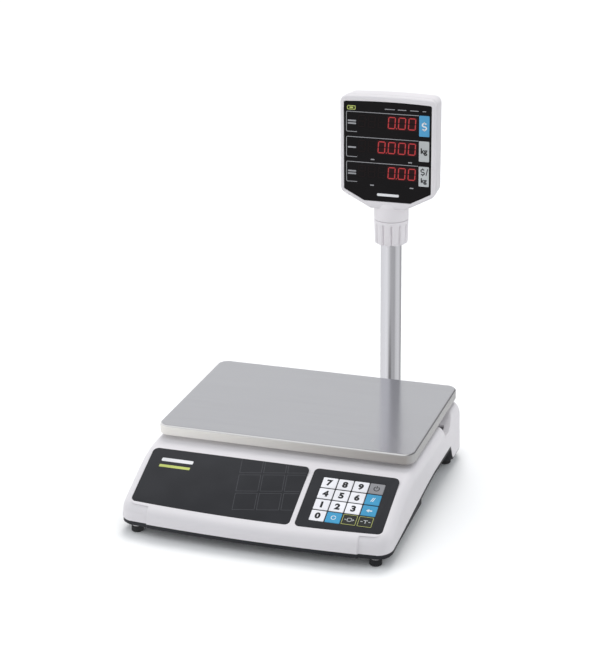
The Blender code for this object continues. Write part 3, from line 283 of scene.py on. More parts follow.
def sides_rough_with_painted_shade(mat, left, right):
    """The pressed sides of the platter are blasted rather than brushed: rougher and less metallic than the top. Their
    colour is painted light: a painted shade from pale at the left to dark at the right and on faces turned to +X, and
    a painted highlight along the rim that becomes a painted dark reflection where the rim faces +X.
    """
    look = Look.__new__(Look)
    look.mat, look.tree = mat, mat.node_tree
    look.shader = look.tree.nodes["Principled BSDF"]
    look.coord = look.add("ShaderNodeTexCoord").outputs["Object"]
    place, facing = look.add("ShaderNodeSeparateXYZ"), look.add("ShaderNodeSeparateXYZ")
    look.link(look.coord, place.inputs[0])
    look.link(look.add("ShaderNodeTexCoord").outputs["Normal"], facing.inputs[0])
    side = look.ramp(facing.outputs["Z"], 1.0, 0.0, 0.25, 0.62)
    # mask of the rounded rim, where the painted highlight and painted dark reflection go
    painted_rim_reflection_mask = look.add("ShaderNodeMath", operation="MULTIPLY")
    look.link(look.ramp(facing.outputs["Z"], 0.0, 1.0, 0.35, 0.62), painted_rim_reflection_mask.inputs[0])
    look.link(look.ramp(facing.outputs["Z"], 1.0, 0.0, 0.80, 0.95), painted_rim_reflection_mask.inputs[1])
    # painted shade: the side colour falls from pale at the left to dark at the right, and darker again on faces turned
    # to +X
    painted_shade_fall = look.ramp(place.outputs["X"], 0.0, 1.0, left, right)
    painted_shade_colour = look.mix(painted_shade_fall, (0.93, 0.905, 0.865), (0.47, 0.44, 0.42))
    away = look.ramp(facing.outputs["X"], 0.0, 1.0, 0.35, 0.85)
    painted_side_shade = look.add("ShaderNodeMix", data_type="RGBA")
    look.link(away, painted_side_shade.inputs[0])
    look.link(painted_shade_colour, painted_side_shade.inputs[6])
    painted_side_shade.inputs[7].default_value = (0.58, 0.57, 0.565, 1.0)
    for name, target in (("Base Color", painted_side_shade.outputs[2]), ("Metallic", None), ("Roughness", None)):
        socket = look.shader.inputs[name]
        held = socket.links[0].from_socket if socket.links else None
        if name == "Base Color":
            first = look.add("ShaderNodeMix", data_type="RGBA")
            look.link(side, first.inputs[0])
            look.link(held, first.inputs[6])
            look.link(target, first.inputs[7])
            second = look.add("ShaderNodeMix", data_type="RGBA")
            look.link(painted_rim_reflection_mask.outputs[0], second.inputs[0])
            look.link(first.outputs[2], second.inputs[6])
            # painted rim highlight, turning to a painted dark reflection where the rim faces +X
            look.link(look.mix(look.ramp(facing.outputs["X"], 0.0, 1.0, 0.25, 0.5), (0.90, 0.885, 0.87), (0.17, 0.165, 0.17)), second.inputs[7])
            look.link(second.outputs[2], socket)
        elif name == "Metallic":
            both = look.add("ShaderNodeMath", operation="MAXIMUM")
            look.link(side, both.inputs[0])
            look.link(painted_rim_reflection_mask.outputs[0], both.inputs[1])
            look.link(look.ramp(both.outputs[0], 1.0, 0.35, 0.0, 1.0), socket)
        else:
            both = look.add("ShaderNodeMath", operation="ADD")
            look.link(held, both.inputs[0])
            look.link(look.ramp(side, 0.0, 0.26, 0.0, 1.0), both.inputs[1])
            look.link(both.outputs[0], socket)


sides_rough_with_painted_shade(STEEL, -0.13, 0.14)
# painted light: a lighter copy of the same white plastic for the neck and collar
WHITE_NECK_LIT_COPY = plastic("neck_white_lit_copy", (0.800, 0.770, 0.795), 0.36, edge=0.0004, spread=0.012, tint=(0.815, 0.784, 0.808))
CHROME = brushed("pole_satin_chrome", (0.82, 0.82, 0.865), 0.15, "Z", 0.0, 0.06)
ZINC = metal("zinc_steel", (0.58, 0.58, 0.60), 0.32)
CAST = metal("cast_alloy", (0.60, 0.61, 0.63), 0.42, 700.0, 0.4)
MACHINED = brushed("machined_alloy", (0.70, 0.71, 0.73), 0.34, "Y", 0.3)
BOARD = circuit("circuit_board_green")
SEGMENT = glow("segment_lit_red", (0.50, 0.045, 0.050), 1.0)
HALO = glow("segment_halo_red", (0.026, 0.0030, 0.004), 0.75, (0.006, 0.004, 0.0045))
SEGMENT_OFF = film("segment_unlit", (0.011, 0.0058, 0.0062), 0.4, 0.12)
LIQUID = plastic("level_liquid", (0.45, 0.56, 0.10), 0.12, depth=1e-6, strength=0.05, spread=0.08)


def window_look():
    look = Look("window_tinted_acrylic")
    look.link(look.mix(look.ramp(look.noise(25.0, 3.0), 0.0, 1.0), (0.0042, 0.0036, 0.0044), (0.0058, 0.0048, 0.0056)), look.shader.inputs["Base Color"])
    look.link(look.ramp(look.noise(60.0, 3.0), 0.10, 0.16), look.shader.inputs["Roughness"])
    look.bump([(look.noise(6.0, 1.0), 1.5e-4, 0.05)])
    look.shader.inputs["Specular IOR Level"].default_value = 0.14
    return look.mat


WINDOW = window_look()


# ------------------------------------------------------------ mesh helpers
def smooth01(t):
    t = min(1.0, max(0.0, t))
    return t * t * (3 - 2 * t)


def piece(name, points, faces, mat, body=None, slot=None, stands_for=(), sharp=32.0, merge=1e-6):
    mesh = bpy.data.meshes.new(name)
    mesh.from_pydata([(x / 1000, y / 1000, z / 1000) for x, y, z in points], [], faces)
    work = bmesh.new()
    work.from_mesh(mesh)
    bmesh.ops.remove_doubles(work, verts=work.verts, dist=merge)
    bmesh.ops.recalc_face_normals(work, faces=work.faces)
    work.to_mesh(mesh)
    work.free()
    obj = bpy.data.objects.new(name, mesh)
    bpy.context.scene.collection.objects.link(obj)
    if mat:
        mesh.materials.append(mat)
    mesh.shade_smooth()
    mesh.set_sharp_from_angle(angle=math.radians(sharp))
    obj["sharp"] = sharp
    if body:
        settle(obj, body, slot, *stands_for)
    return obj


def settle(obj, body, slot, *nodes):
    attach(obj, body)
    if nodes:
        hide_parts(*nodes)
    return obj


def cut(obj, tools, operation="DIFFERENCE"):
    for other in tools:
        step = obj.modifiers.new(other.name, "BOOLEAN")
        step.operation = operation
        step.solver = "EXACT"
        step.object = other
    bpy.context.view_layer.update()
    graph = bpy.context.evaluated_depsgraph_get()
    made = bpy.data.meshes.new_from_object(obj.evaluated_get(graph))
    obj.modifiers.clear()
    old = obj.data
    obj.data = made
    made.name = obj.name
    bpy.data.meshes.remove(old)
    for other in tools:
        mesh = other.data
        bpy.data.objects.remove(other)
        bpy.data.meshes.remove(mesh)
    made.shade_smooth()
    made.set_sharp_from_angle(angle=math.radians(obj["sharp"]))
    while len(made.materials) > 1:
        made.materials.pop(index=len(made.materials) - 1)
    for polygon in made.polygons:
        polygon.material_index = 0
    return obj


def rings_mesh(rings, first=None, last=None):
    count = len(rings[0])
    points = [p for ring in rings for p in ring]
    faces = []
    for r in range(len(rings) - 1):
        for i in range(count):
            j = (i + 1) % count
            faces.append((r * count + i, r * count + j, (r + 1) * count + j, (r + 1) * count + i))
    if last == "loop":
        r = len(rings) - 1
        for i in range(count):
            j = (i + 1) % count
            faces.append((r * count + i, r * count + j, j, i))
    for which, base in ((first, 0), (last, (len(rings) - 1) * count)):
        if which == "fan":
            faces.append(tuple(base + i for i in range(count)))
        elif which == "pairs":
            faces += [tuple(base + i for i in f) for f in pair_faces(count)]
    return points, faces


def pair_faces(count):
    half = count // 2
    start = half - REAR_STEPS - 1
    faces = [tuple(range(start, count - start + 1))]
    for i in range(start):
        a, b = i, i + 1
        c, d = (count - b) % count, (count - a) % count
        quad = []
        for v in (a, b, c, d):
            if v not in quad:
                quad.append(v)
        if len(quad) > 2:
            faces.append(tuple(quad))
    return faces


def turned(name, profile, mat, centre, sides=64, axis="Z", sharp=32.0, wobble=None, **placed):
    on_axis = profile[0][0] == 0 and profile[-1][0] == 0
    body = profile[1:-1] if on_axis else profile
    rings = []
    for r, h in body:
        ring = []
        for k in range(sides):
            t = 2 * math.pi * k / sides
            rr = r + (wobble(t, h, r) if wobble else 0.0)
            ring.append((rr * math.cos(t), rr * math.sin(t), h))
        rings.append(ring)
    points, faces = rings_mesh(rings, "fan", "fan") if on_axis else rings_mesh(rings, None, "loop")
    turn = {"Z": lambda p: p, "Y": lambda p: (p[0], p[2], -p[1]), "X": lambda p: (p[2], p[1], -p[0]), "-Z": lambda p: (p[0], -p[1], -p[2])}[axis]
    points = [tuple(a + b for a, b in zip(turn(p), centre)) for p in points]
    return piece(name, points, faces, mat, sharp=sharp, **placed)


def outline_solid(name, outline, levels, mat, place=None, sharp=32.0, **placed):
    """Outline rings at (height, function of the outline's inset) levels; levels is [(height, outline)]."""
    rings = [[(x, y, h) for x, y in shape] for h, shape in levels]
    points, faces = rings_mesh(rings, "fan", "fan")
    if place:
        points = [place(p) for p in points]
    return piece(name, points, faces, mat, sharp=sharp, **placed)


def prism(name, outline, z0, z1, mat, place=None, sharp=32.0, **placed):
    return outline_solid(name, outline, [(z0, outline), (z1, outline)], mat, place, sharp, **placed)


def box(name, low, high, mat=None, **placed):
    x0, y0, z0 = low
    x1, y1, z1 = high
    return prism(name, [(x0, y0), (x1, y0), (x1, y1), (x0, y1)], z0, z1, mat, **placed)


def rounded_polygon(corners, radii, steps):
    points = []
    n = len(corners)
    for i, (corner, radius) in enumerate(zip(corners, radii)):
        p = Vector(corner)
        a = (Vector(corners[i - 1]) - p).normalized()
        b = (Vector(corners[(i + 1) % n]) - p).normalized()
        half = a.angle(b) / 2
        reach = radius / math.tan(half)
        centre = p + (a + b).normalized() * (radius / math.sin(half))
        start, end = p + a * reach - centre, p + b * reach - centre
        sweep = start.angle_signed(end)
        for k in range(steps + 1):
            turned_point = Matrix.Rotation(-sweep * k / steps, 2) @ start
            points.append((centre.x + turned_point.x, centre.y + turned_point.y))
    return points


def rounded_box_outline(x0, x1, y0, y1, radius, steps=6):
    return rounded_polygon([(x0, y0), (x1, y0), (x1, y1), (x0, y1)], [radius] * 4, steps)


class Ink:
    """Thin flat shapes gathered into one piece."""

    def __init__(self):
        self.points, self.faces = [], []

    def slab(self, outline, h0, h1):
        base, n = len(self.points), len(outline)
        self.points += [(x, y, h0) for x, y in outline] + [(x, y, h1) for x, y in outline]
        self.faces.append(tuple(base + i for i in range(n)))
        self.faces.append(tuple(base + n + i for i in range(n)))
        for i in range(n):
            j = (i + 1) % n
            self.faces.append((base + i, base + j, base + n + j, base + n + i))

    def stroke(self, path, width, h0, h1, closed=False):
        """Ribbon of even width along a path of (x, y)."""
        n = len(path)
        left, right = [], []
        for i in range(n):
            p = Vector(path[i])
            if closed:
                a, b = Vector(path[i - 1]), Vector(path[(i + 1) % n])
            else:
                a, b = Vector(path[max(0, i - 1)]), Vector(path[min(n - 1, i + 1)])
            u, v = (p - a), (b - p)
            u = u.normalized() if u.length > 1e-6 else v.normalized()
            v = v.normalized() if v.length > 1e-6 else u
            m = Vector((-(u.y + v.y), u.x + v.x)).normalized()
            k = width / 2 / max(0.35, m.dot(Vector((-u.y, u.x))))
            left.append(tuple(p + m * k))
            right.append(tuple(p - m * k))
        base = len(self.points)
        for side, h in ((left, h0), (right, h0), (left, h1), (right, h1)):
            self.points += [(x, y, h) for x, y in side]
        span = n if closed else n - 1
        for i in range(span):
            j = (i + 1) % n
            l0, r0, l1, r1 = base + i, base + n + i, base + 2 * n + i, base + 3 * n + i
            L0, R0, L1, R1 = base + j, base + n + j, base + 2 * n + j, base + 3 * n + j
            self.faces += [(l0, L0, R0, r0), (l1, r1, R1, L1), (l0, l1, L1, L0), (r0, R0, R1, r1)]
        if not closed:
            for e in (0, n - 1):
                self.faces.append((base + e, base + n + e, base + 3 * n + e, base + 2 * n + e))

    def make(self, name, mat, place, body, slot):
        return piece(name, [place(p) for p in self.points], self.faces, mat, body, slot, sharp=30.0, merge=1e-8)


def glyphs(text, height, bold=0.0, squeeze=1.0):
    """Flat glyph mesh of a built-in plain typeface: points in mm centred on the middle, and faces."""
    curve = bpy.data.curves.new("glyph", "FONT")
    curve.body = text
    curve.align_x = "CENTER"
    curve.size = 1.0
    curve.offset = bold
    curve.extrude = 0.004
    curve.resolution_u = 6
    holder = bpy.data.objects.new("glyph", curve)
    bpy.context.scene.collection.objects.link(holder)
    bpy.context.view_layer.update()
    graph = bpy.context.evaluated_depsgraph_get()
    mesh = bpy.data.meshes.new_from_object(holder.evaluated_get(graph))
    points = [tuple(v.co) for v in mesh.vertices]
    faces = [tuple(p.vertices) for p in mesh.polygons]
    bpy.data.objects.remove(holder)
    bpy.data.curves.remove(curve)
    bpy.data.meshes.remove(mesh)
    xs, ys = [p[0] for p in points], [p[1] for p in points]
    cx, cy = (min(xs) + max(xs)) / 2, (min(ys) + max(ys)) / 2
    scale = height / (max(ys) - min(ys))
    return [((x - cx) * scale * squeeze, (y - cy) * scale, 0.0 if z < 0 else 1.0) for x, y, z in points], faces


def slope_place(p):
    x, s, h = p
    return (x, SLOPE_TOP_Y - s * CS - h * SN, DECK_Z - s * SN + h * CS)


# ------------------------------------------------------------ housing shape
def side_x(y):
    t = (y + 175.0) / 290.0
    return HALF_W_FRONT + (HALF_W_REAR - HALF_W_FRONT) * min(1.0, max(0.0, t))


SIDE_Y = sorted(set(
    [-171.0, -168.0, -164.0, -160.0, -155.0, -150.0, -143.0, -136.0, -130.0]
    + [-126.0 + 2.5 * k for k in range(20)] + [-74.0, -68.0, -60.0, -52.0, -46.0]
    + [-42.0 + 3.5 * k for k in range(14)]
    + [10.0, 18.0, 26.0, 34.0, 40.0, 45.6, 46.8, 48.0, 49.2, 53.0, 57.0, 61.5, 63.0, 65.0, 67.0, 69.0]
    + [71.0 + 1.1 * k for k in range(16)] + [90.5, 93.0, 95.5, 98.0, 103.0, 108.0]
))


def half_outline():
    x0 = HALF_W_FRONT - CORNER_FRONT
    for _ in range(8):
        lean = math.atan(2 * FRONT_BOW * x0)
        cx = x0 - CORNER_FRONT * math.sin(lean)
        cy = FRONT_Y + FRONT_BOW * x0 * x0 + CORNER_FRONT * math.cos(lean)
        x0 += side_x(cy) - CORNER_FRONT - cx
    xs = [9.0 * k for k in range(14)] + [119.5, 120.6] + [BLOCK_X - 1.4 + 0.35 * k for k in range(9)] + [124.6, 126.5, 129.5, 133.0]
    points = []
    for x in xs:
        if x < x0 - 1:
            lean = math.atan(2 * FRONT_BOW * x)
            points.append((x, FRONT_Y + FRONT_BOW * x * x, -math.sin(lean), math.cos(lean)))
    lean = math.atan(2 * FRONT_BOW * x0)
    steps = 16
    for k in range(steps + 1):
        a = -math.pi / 2 + lean + (math.pi / 2 - lean) * k / steps
        points.append((cx + CORNER_FRONT * math.cos(a), cy + CORNER_FRONT * math.sin(a), -math.cos(a), -math.sin(a)))
    for y in SIDE_Y:
        if y > cy + 1:
            points.append((side_x(y), y, -1.0, 0.0))
    ry = REAR_Y - CORNER_REAR
    rx = side_x(ry) - CORNER_REAR
    for k in range(steps + 1):
        a = math.pi / 2 * k / steps
        points.append((rx + CORNER_REAR * math.cos(a), ry + CORNER_REAR * math.sin(a), -math.cos(a), -math.sin(a)))
    for k in range(1, REAR_STEPS + 1):
        points.append((rx * (1 - k / REAR_STEPS), REAR_Y, 0.0, -1.0))
    return points


HALF = half_outline()


def full_ring(point):
    right = [point(*p) for p in HALF]
    left = [(-x, y, z) for x, y, z in reversed(right[1:-1])]
    return right + left


def seam_z(x, y):
    if abs(x) < 120:
        return SEAM_Z if y < 0 else LEG_Z
    rise = 0.5 - 0.5 * math.cos(math.pi * min(1.0, max(0.0, (y + 188.0) / 190.0)))
    z = SEAM_Z + (GRIP_Z - SEAM_Z) * (0.55 * rise + 0.45 * min(1.0, max(0.0, (y + 188.0) / 190.0)))
    return z + (LEG_Z - z) * smooth01((y - 71.0) / 16.5)


def top_z(y):
    slope = DECK_Z + (y - SLOPE_TOP_Y) * SLOPE
    d = (DECK_Z - slope) / DECK_BLEND * 2.2
    if d > 30:
        return slope
    if d < -30:
        return DECK_Z
    return DECK_Z - DECK_BLEND / 2.2 * math.log1p(math.exp(d))


def notch_z(y):
    a, b, c, d = NOTCH_Y
    if y <= a or y >= d:
        return 1e3
    if y < b:
        return NOTCH_Z + (DECK_Z - NOTCH_Z) * (b - y) / (b - a)
    if y < c:
        return NOTCH_Z
    return NOTCH_Z + (DECK_Z - NOTCH_Z) * (y - c) / (d - c)


def shoulder(nx, ny):
    side, fore, rear = abs(nx), max(0.0, ny), max(0.0, -ny)
    total = side ** 2 + fore ** 2 + rear ** 2
    mix = [side ** 2 / total, fore ** 2 / total, rear ** 2 / total]
    return tuple(sum(m * s[i] for m, s in zip(mix, (SIDE_SHOULDER, FRONT_SHOULDER, REAR_SHOULDER))) for i in (0, 1))


def block_step(x, y):
    """How far the front corner blocks stand behind the middle of the front, in mm."""
    if y > -160:
        return 0.0
    return 2.3 * smooth01((abs(x) - (BLOCK_X - 0.8)) / 1.6) * (1 - smooth01((abs(x) - 139.0) / 17.0))


def shell_rings(inner, steps):
    off = SHELL if inner else 0.0
    rings = []

    def at(e_of, z_of, step=1.0):
        def point(x, y, nx, ny):
            a, b = shoulder(nx, ny)
            back = block_step(x, y) * step if not inner else 0.0
            e = e_of(a, b, nx) + back - (0.35 * step if not inner and abs(x) < BLOCK_X - 0.5 and ny > 0.5 else 0.0)
            e = min(e, CORNER_FRONT - 1.0 + 0.2 * max(0.0, y + 172.0))
            px, py = x + nx * e, y + ny * e
            z = z_of(a, b, px, py, nx) - back * 0.35 * step
            return (0.0 if px < 1e-6 else px, py, z)

        return full_ring(point)

    rings.append(at(lambda a, b, nx: off, lambda a, b, px, py, nx: seam_z(px, py)))
    if not inner:
        rings.append(at(lambda a, b, nx: off + 0.02, lambda a, b, px, py, nx: seam_z(px, py) + 0.6))
        for share in (0.33, 0.66):
            rings.append(at(lambda a, b, nx, share=share: off + 0.8 * share,
                            lambda a, b, px, py, nx, share=share: (seam_z(px, py) + 0.6) * (1 - share)
                            + min(top_z(py) - off - (b - off), notch_z(py) - off if abs(nx) > 0.2 else 1e3) * share))
    for k in range(steps + 1):
        t = math.pi / 2 * k / steps
        fade = 1.0 if k < steps - 1 else (0.75 if k == steps - 1 else 0.0)
        rings.append(at(
            lambda a, b, nx, t=t: off + 0.8 + (a - off) * (1 - math.cos(t)),
            lambda a, b, px, py, nx, t=t: min(top_z(py) - off - (b - off) * (1 - math.sin(t)), notch_z(py) - off if abs(nx) > 0.2 else 1e3),
            fade))
    spread = 3.0 if inner else 0.0
    rings.append(at(lambda a, b, nx: a + 0.8 + (7.0 + spread) * (nx * nx if abs(nx) > 0.2 else 0.04) + 0.4,
                    lambda a, b, px, py, nx: min(top_z(py) - off, notch_z(py) - off if abs(nx) > 0.2 else 1e3), 0.0))
    rings.append(at(lambda a, b, nx: a + 0.8 + (8.2 + spread) * (nx * nx if abs(nx) > 0.2 else 0.04) + 1.0,
                    lambda a, b, px, py, nx: top_z(py) - off, 0.0))
    return rings


rings = list(reversed(shell_rings(True, 2))) + shell_rings(False, 12)
points, faces = rings_mesh(rings, "pairs", "pairs")
housing = piece("housing_top", points, faces, WHITE, sharp=34.0)


def overlay_outline(x0, x1, grow, steps=8, across=18):
    low = [(x0 + (x1 - x0) * k / across) for k in range(across + 1)]
    taper = 0.75
    left = x0 < 0

    def s_low(x):
        return OVERLAY_LEN - OVERLAY_BOW * x * x

    corners = [(x1 + grow, -grow), (x0 - grow, -grow), (x0 - grow + (taper if left else 0), s_low(x0) + grow)]
    corners += [(x, s_low(x) + grow) for x in low[2:-2]]
    corners += [(x1 + grow - (0 if left else taper), s_low(x1) + grow)]
    radii = [6.5 if not left else 5.5, 6.5 if left else 5.5, 5.5] + [40.0] * (across - 3) + [5.5]
    flat = rounded_polygon(corners, radii, 1)
    full = rounded_polygon(corners, radii, steps)
    # the shallow bends of the lower edge need one segment each, the four corners need all of theirs
    points, n = [], len(corners)
    for i in range(n):
        points += full[i * (steps + 1):(i + 1) * (steps + 1)] if radii[i] < 30 else flat[i * 2:i * 2 + 2]
    return points


tools = []
for tag, (x0, x1) in (("left", OVERLAY_LEFT), ("right", OVERLAY_RIGHT)):
    tools.append(outline_solid("recess_" + tag, None, [(-1.35, overlay_outline(x0, x1, GAP)), (0.0 - 0.25, overlay_outline(x0, x1, GAP)), (0.35, overlay_outline(x0, x1, GAP + 0.6)), (6.0, overlay_outline(x0, x1, GAP + 0.6))], None, slope_place))
K0, K1 = KEY_X0 - 2, KEY_X0 + 3 * KEY_PITCH_X + KEY_W + 2
S0, S1 = KEY_S0 - 2, KEY_S0 + 3 * KEY_PITCH_S + KEY_H + 2
tools.append(prism("keypad_window", [(K0, S0), (K1, S0), (K1, S1), (K0, S1)], -9.0, 6.0, None, slope_place))
SUPPORT_LOW, SUPPORT_HIGH = mm("platter_support")
tools.append(prism("deck_opening", rounded_box_outline(-22, 22, 56, 98, 3.0), 50, 90, None))
for side in (-1, 1):
    xs = sorted((side * 143.6, side * 151.8))
    tools.append(prism("rail_slot_" + ("l" if side < 0 else "r"), rounded_box_outline(xs[0], xs[1], 62.5, 73.5, 1.0, 3), 40, 66, None))
tools.append(box("jack_opening", (-108.3, 130, 22.7), (-91.7, 150, 35.3)))
tools.append(turned("cable_opening", [(0, 0), (4.2, 0), (4.2, 24), (0, 24)], None, (POLE_X, 128, 30), 24, "Y"))
cut(housing, tools)
settle(housing, "base", "housing_white", "upper_housing")

# ------------------------------------------------------------ black lower housing
def grip_in(x, y):
    if abs(x) < 120:
        return 1.2
    slow = 1.2 + 2.8 * smooth01((y + 190.0) / 170.0)
    deep = GRIP_IN * smooth01((y + 42.0) / 34.0) * (1 - smooth01((y - 72.0) / 12.0))
    back = slow + (1.6 - slow) * smooth01((y - 72.0) / 12.0)
    return back + deep


def tray_ring(inset, z_of, follow):
    def point(x, y, nx, ny):
        e = 0.5 + inset + (grip_in(x, y) if follow else 0.0) + block_step(x, y) * 0.75
        px, py = x + nx * e, y + ny * e
        return (0.0 if px < 1e-6 else px, py, z_of(x, y))

    return full_ring(point)


LIP = 0.4


def lip_tall(x, y):
    """How far the rim of the tray reaches below the seam before the tray turns in under the hand grips."""
    return min(4.6, seam_z(x, y) - TRAY_Z - 1.7)


tray_rings = [
    tray_ring(1.4, lambda x, y: TRAY_Z, True),
    tray_ring(0.42, lambda x, y: TRAY_Z + 0.35, True),
    tray_ring(0.0, lambda x, y: TRAY_Z + 1.2, True),
    tray_ring(0.0, lambda x, y: seam_z(x, y) - lip_tall(x, y) - 0.1, True),
    tray_ring(0.0, lambda x, y: seam_z(x, y) - lip_tall(x, y), False),
    tray_ring(0.0, lambda x, y: seam_z(x, y) - LIP, False),
    tray_ring(TRAY_WALL, lambda x, y: seam_z(x, y) - LIP, True),
    tray_ring(TRAY_WALL, lambda x, y: TRAY_Z + TRAY_FLOOR - 0.4, True),
]
points, faces = rings_mesh(tray_rings, "pairs", "pairs")
tray = piece("housing_tray", points, faces, BLACK, sharp=30.0)
DOOR_LOW, DOOR_HIGH = mm("battery_door")
tools = [prism("door_opening", rounded_box_outline(DOOR_LOW[0] - 0.45, DOOR_HIGH[0] + 0.45, DOOR_LOW[1] - 0.45, DOOR_HIGH[1] + 0.45, 1.2, 3), 5, 20, None)]
for tag, (fx, fy) in FEET.items():
    tools.append(turned("foot_bore_" + tag, [(0, 0), (6.6, 0), (6.6, TRAY_Z + 0.8), (4.4, TRAY_Z + 1.4), (4.4, 40), (0, 40)], None, (fx, fy, 0), 40))
for k in (1, 2):
    low, high = mm(f"load_cell_bolt_fixed_{k}")
    tools.append(turned(f"bolt_way_{k}", [(0, 0), (6.2, 0), (6.2, TRAY_Z + 0.6), (3.4, TRAY_Z + 1.0), (3.4, 30), (0, 30)], None, ((low[0] + high[0]) / 2, (low[1] + high[1]) / 2, 0), 32))
SCREWS = [(-128, -150), (128, -150), (-92, 120), (100, 118), (0, -168), (0, 122)]
for k, (sx, sy) in enumerate(SCREWS):
    tools.append(turned(f"screw_well_{k}", [(0, 4), (4.4, 4), (4.2, TRAY_Z + 2.0), (0, TRAY_Z + 2.0)], None, (sx, sy, 0), 32))
for k in range(9):
    x = 46 + 7.0 * k
    tools.append(prism(f"vent_{k}", rounded_box_outline(x, x + 2.6, -96, -66, 1.25, 4), 5, 20, None))
tools.append(prism("plate_recess", rounded_box_outline(-38, 38, 74, 112, 2.0, 4), 5, TRAY_Z + 0.5, None))
cut(tray, tools)
settle(tray, "base", "tray_black", "lower_housing")
prism("rating_plate_blank", rounded_box_outline(-37.4, 37.4, 74.6, 111.4, 1.6, 4), TRAY_Z + 0.12, TRAY_Z + 0.5, DIM_GREY, body="base", slot="overlay_dark")


def cross_screw(name, x, y, z, radius, axis, body, slot="fastener_steel", centre=None):
    """Pan-head screw with a cross recess; the head's outer face looks along axis."""
    profile = [(0, -1.2), (radius * 0.55, -1.2), (radius * 0.55, 0.0), (radius, 0.05), (radius, 0.5), (radius * 0.86, 1.05), (radius * 0.55, 1.45), (radius * 0.2, 1.6), (0, 1.6)]
    screw = turned(name, profile, ZINC, (x, y, z), 32, axis, sharp=40.0)
    arm, wide = radius * 0.62, radius * 0.15
    turn = {"Z": lambda p: p, "Y": lambda p: (p[0], p[2], -p[1]), "-Z": lambda p: (p[0], -p[1], -p[2])}[axis]
    slots = []
    for k, (a, b) in enumerate(((arm, wide), (wide, arm))):
        slots.append(prism(f"{name}_slot_{k}", [(-a, -b), (a, -b), (a, b), (-a, b)], 0.7, 3.0, None, lambda p: tuple(u + v for u, v in zip(turn(p), (x, y, z)))))
    cut(screw, slots)
    return settle(screw, body, slot)


for k, (sx, sy) in enumerate(SCREWS):
    cross_screw(f"housing_screw_{k + 1}", sx, sy, TRAY_Z + 1.9, 3.3, "-Z", "base")

# battery door with finger ridges
door_outline = rounded_box_outline(DOOR_LOW[0], DOOR_HIGH[0], DOOR_LOW[1], DOOR_HIGH[1], 0.9, 3)
door_in = rounded_box_outline(DOOR_LOW[0] + 0.5, DOOR_HIGH[0] - 0.5, DOOR_LOW[1] + 0.5, DOOR_HIGH[1] - 0.5, 0.7, 3)
door = outline_solid("battery_door_moulded", None, [(DOOR_LOW[2], door_in), (DOOR_LOW[2] + 0.4, door_outline), (DOOR_HIGH[2], door_outline)], BLACK, sharp=30.0)
tools = [prism("door_pull", rounded_box_outline(-92, -72, DOOR_LOW[1] + 2.6, DOOR_LOW[1] + 7.0, 1.6, 4), 5, TRAY_Z + 1.3, None)]
tools += [prism(f"door_ridge_{k}", rounded_box_outline(-95, -69, DOOR_LOW[1] + 10.5 + 3.4 * k, DOOR_LOW[1] + 12.0 + 3.4 * k, 0.7, 3), 5, TRAY_Z + 0.6, None) for k in range(4)]
cut(door, tools)
settle(door, "battery_cover", "tray_black", "battery_door")

# ------------------------------------------------------------ overlays and print
for tag, (x0, x1) in (("display", OVERLAY_LEFT), ("keypad", OVERLAY_RIGHT)):
    plate = outline_solid(tag + "_film", None, [(-1.0, overlay_outline(x0, x1, 0.0)), (0.06, overlay_outline(x0, x1, 0.0)), (0.12, overlay_outline(x0, x1, -0.12))], DARK_FILM, slope_place, 30.0)
    if tag == "keypad":
        holes = Ink()
        for row in range(4):
            for col in range(4):
                kx, ks = KEY_X0 + col * KEY_PITCH_X, KEY_S0 + row * KEY_PITCH_S
                holes.slab(rounded_box_outline(kx - KEY_GAP, kx + KEY_W + KEY_GAP, ks - KEY_GAP, ks + KEY_H + KEY_GAP, 0.9, 3), -3.0, 3.0)
        cut(plate, [piece("key_holes", [slope_place(p) for p in holes.points], holes.faces, None)])
    settle(plate, "base", "overlay_dark", tag + "_overlay")

H0, H1 = 0.10, 0.15
pattern = Ink()
THETA = math.radians(9.0)
ORIGIN = Vector((-34.9, 24.4))


def rotated(u, v):
    return (ORIGIN.x + u * math.cos(THETA) + v * math.sin(THETA), ORIGIN.y - u * math.sin(THETA) + v * math.cos(THETA))


def inside_overlay(p):
    x, s = p
    return OVERLAY_LEFT[0] + 2.0 < x < OVERLAY_LEFT[1] - 0.8 and 0.6 < s < OVERLAY_LEN - OVERLAY_BOW * x * x - 1.5


for row in range(-2, 2):
    for col in range(0, 3):
        u0, v0 = col * 27.4, row * 27.2
        cell = [(u0, v0), (u0 + 24.8, v0), (u0 + 24.8, v0 + 24.0), (u0, v0 + 24.0)]
        for a, b in zip(cell, cell[1:] + cell[:1]):
            run = []
            count = 40
            for k in range(count + 1):
                p = rotated(a[0] + (b[0] - a[0]) * k / count, a[1] + (b[1] - a[1]) * k / count)
                if inside_overlay(p):
                    run.append(p)
            if len(run) > 2:
                pattern.stroke([run[0], run[-1]], 0.5, H0, H1)
pattern.make("film_pattern", LINE_FILM, slope_place, "base", "overlay_dark")

mark = Ink()
mark.slab(rounded_box_outline(-131.0, -93.0, 13.6, 18.6, 1.4, 5), H0, H1)
mark.make("plain_mark_white", MARK_WHITE, slope_place, "base", "key_white")
mark = Ink()
mark.slab(rounded_box_outline(-131.0, -94.0, 23.6, 27.4, 0.5, 5), H0, H1)
mark.make("plain_mark_lime", MARK_LIME, slope_place, "base", "key_white")

# ------------------------------------------------------------ keys
KEYS = (
    ("key_7", "key_8", "key_9", "key_power"),
    ("key_4", "key_5", "key_6", "key_double_zero"),
    ("key_1", "key_2", "key_3", "key_clear"),
    ("key_0", "key_tare", "key_zero_set", "key_print"),
)
KEY_MAT = {"key_power": (KEY_GREY, "key_grey"), "key_double_zero": (KEY_BLUE, "key_blue"), "key_clear": (KEY_BLUE, "key_blue"), "key_tare": (KEY_BLUE, "key_blue"),
           "key_zero_set": (KEY_DARK, "key_dark"), "key_print": (KEY_DARK, "key_dark")}
TOP = 0.40


def ring_path(cx, cy, radius, a0, a1, steps):
    return [(cx + radius * math.cos(math.radians(a0 + (a1 - a0) * k / steps)), cy + radius * math.sin(math.radians(a0 + (a1 - a0) * k / steps))) for k in range(steps + 1)]


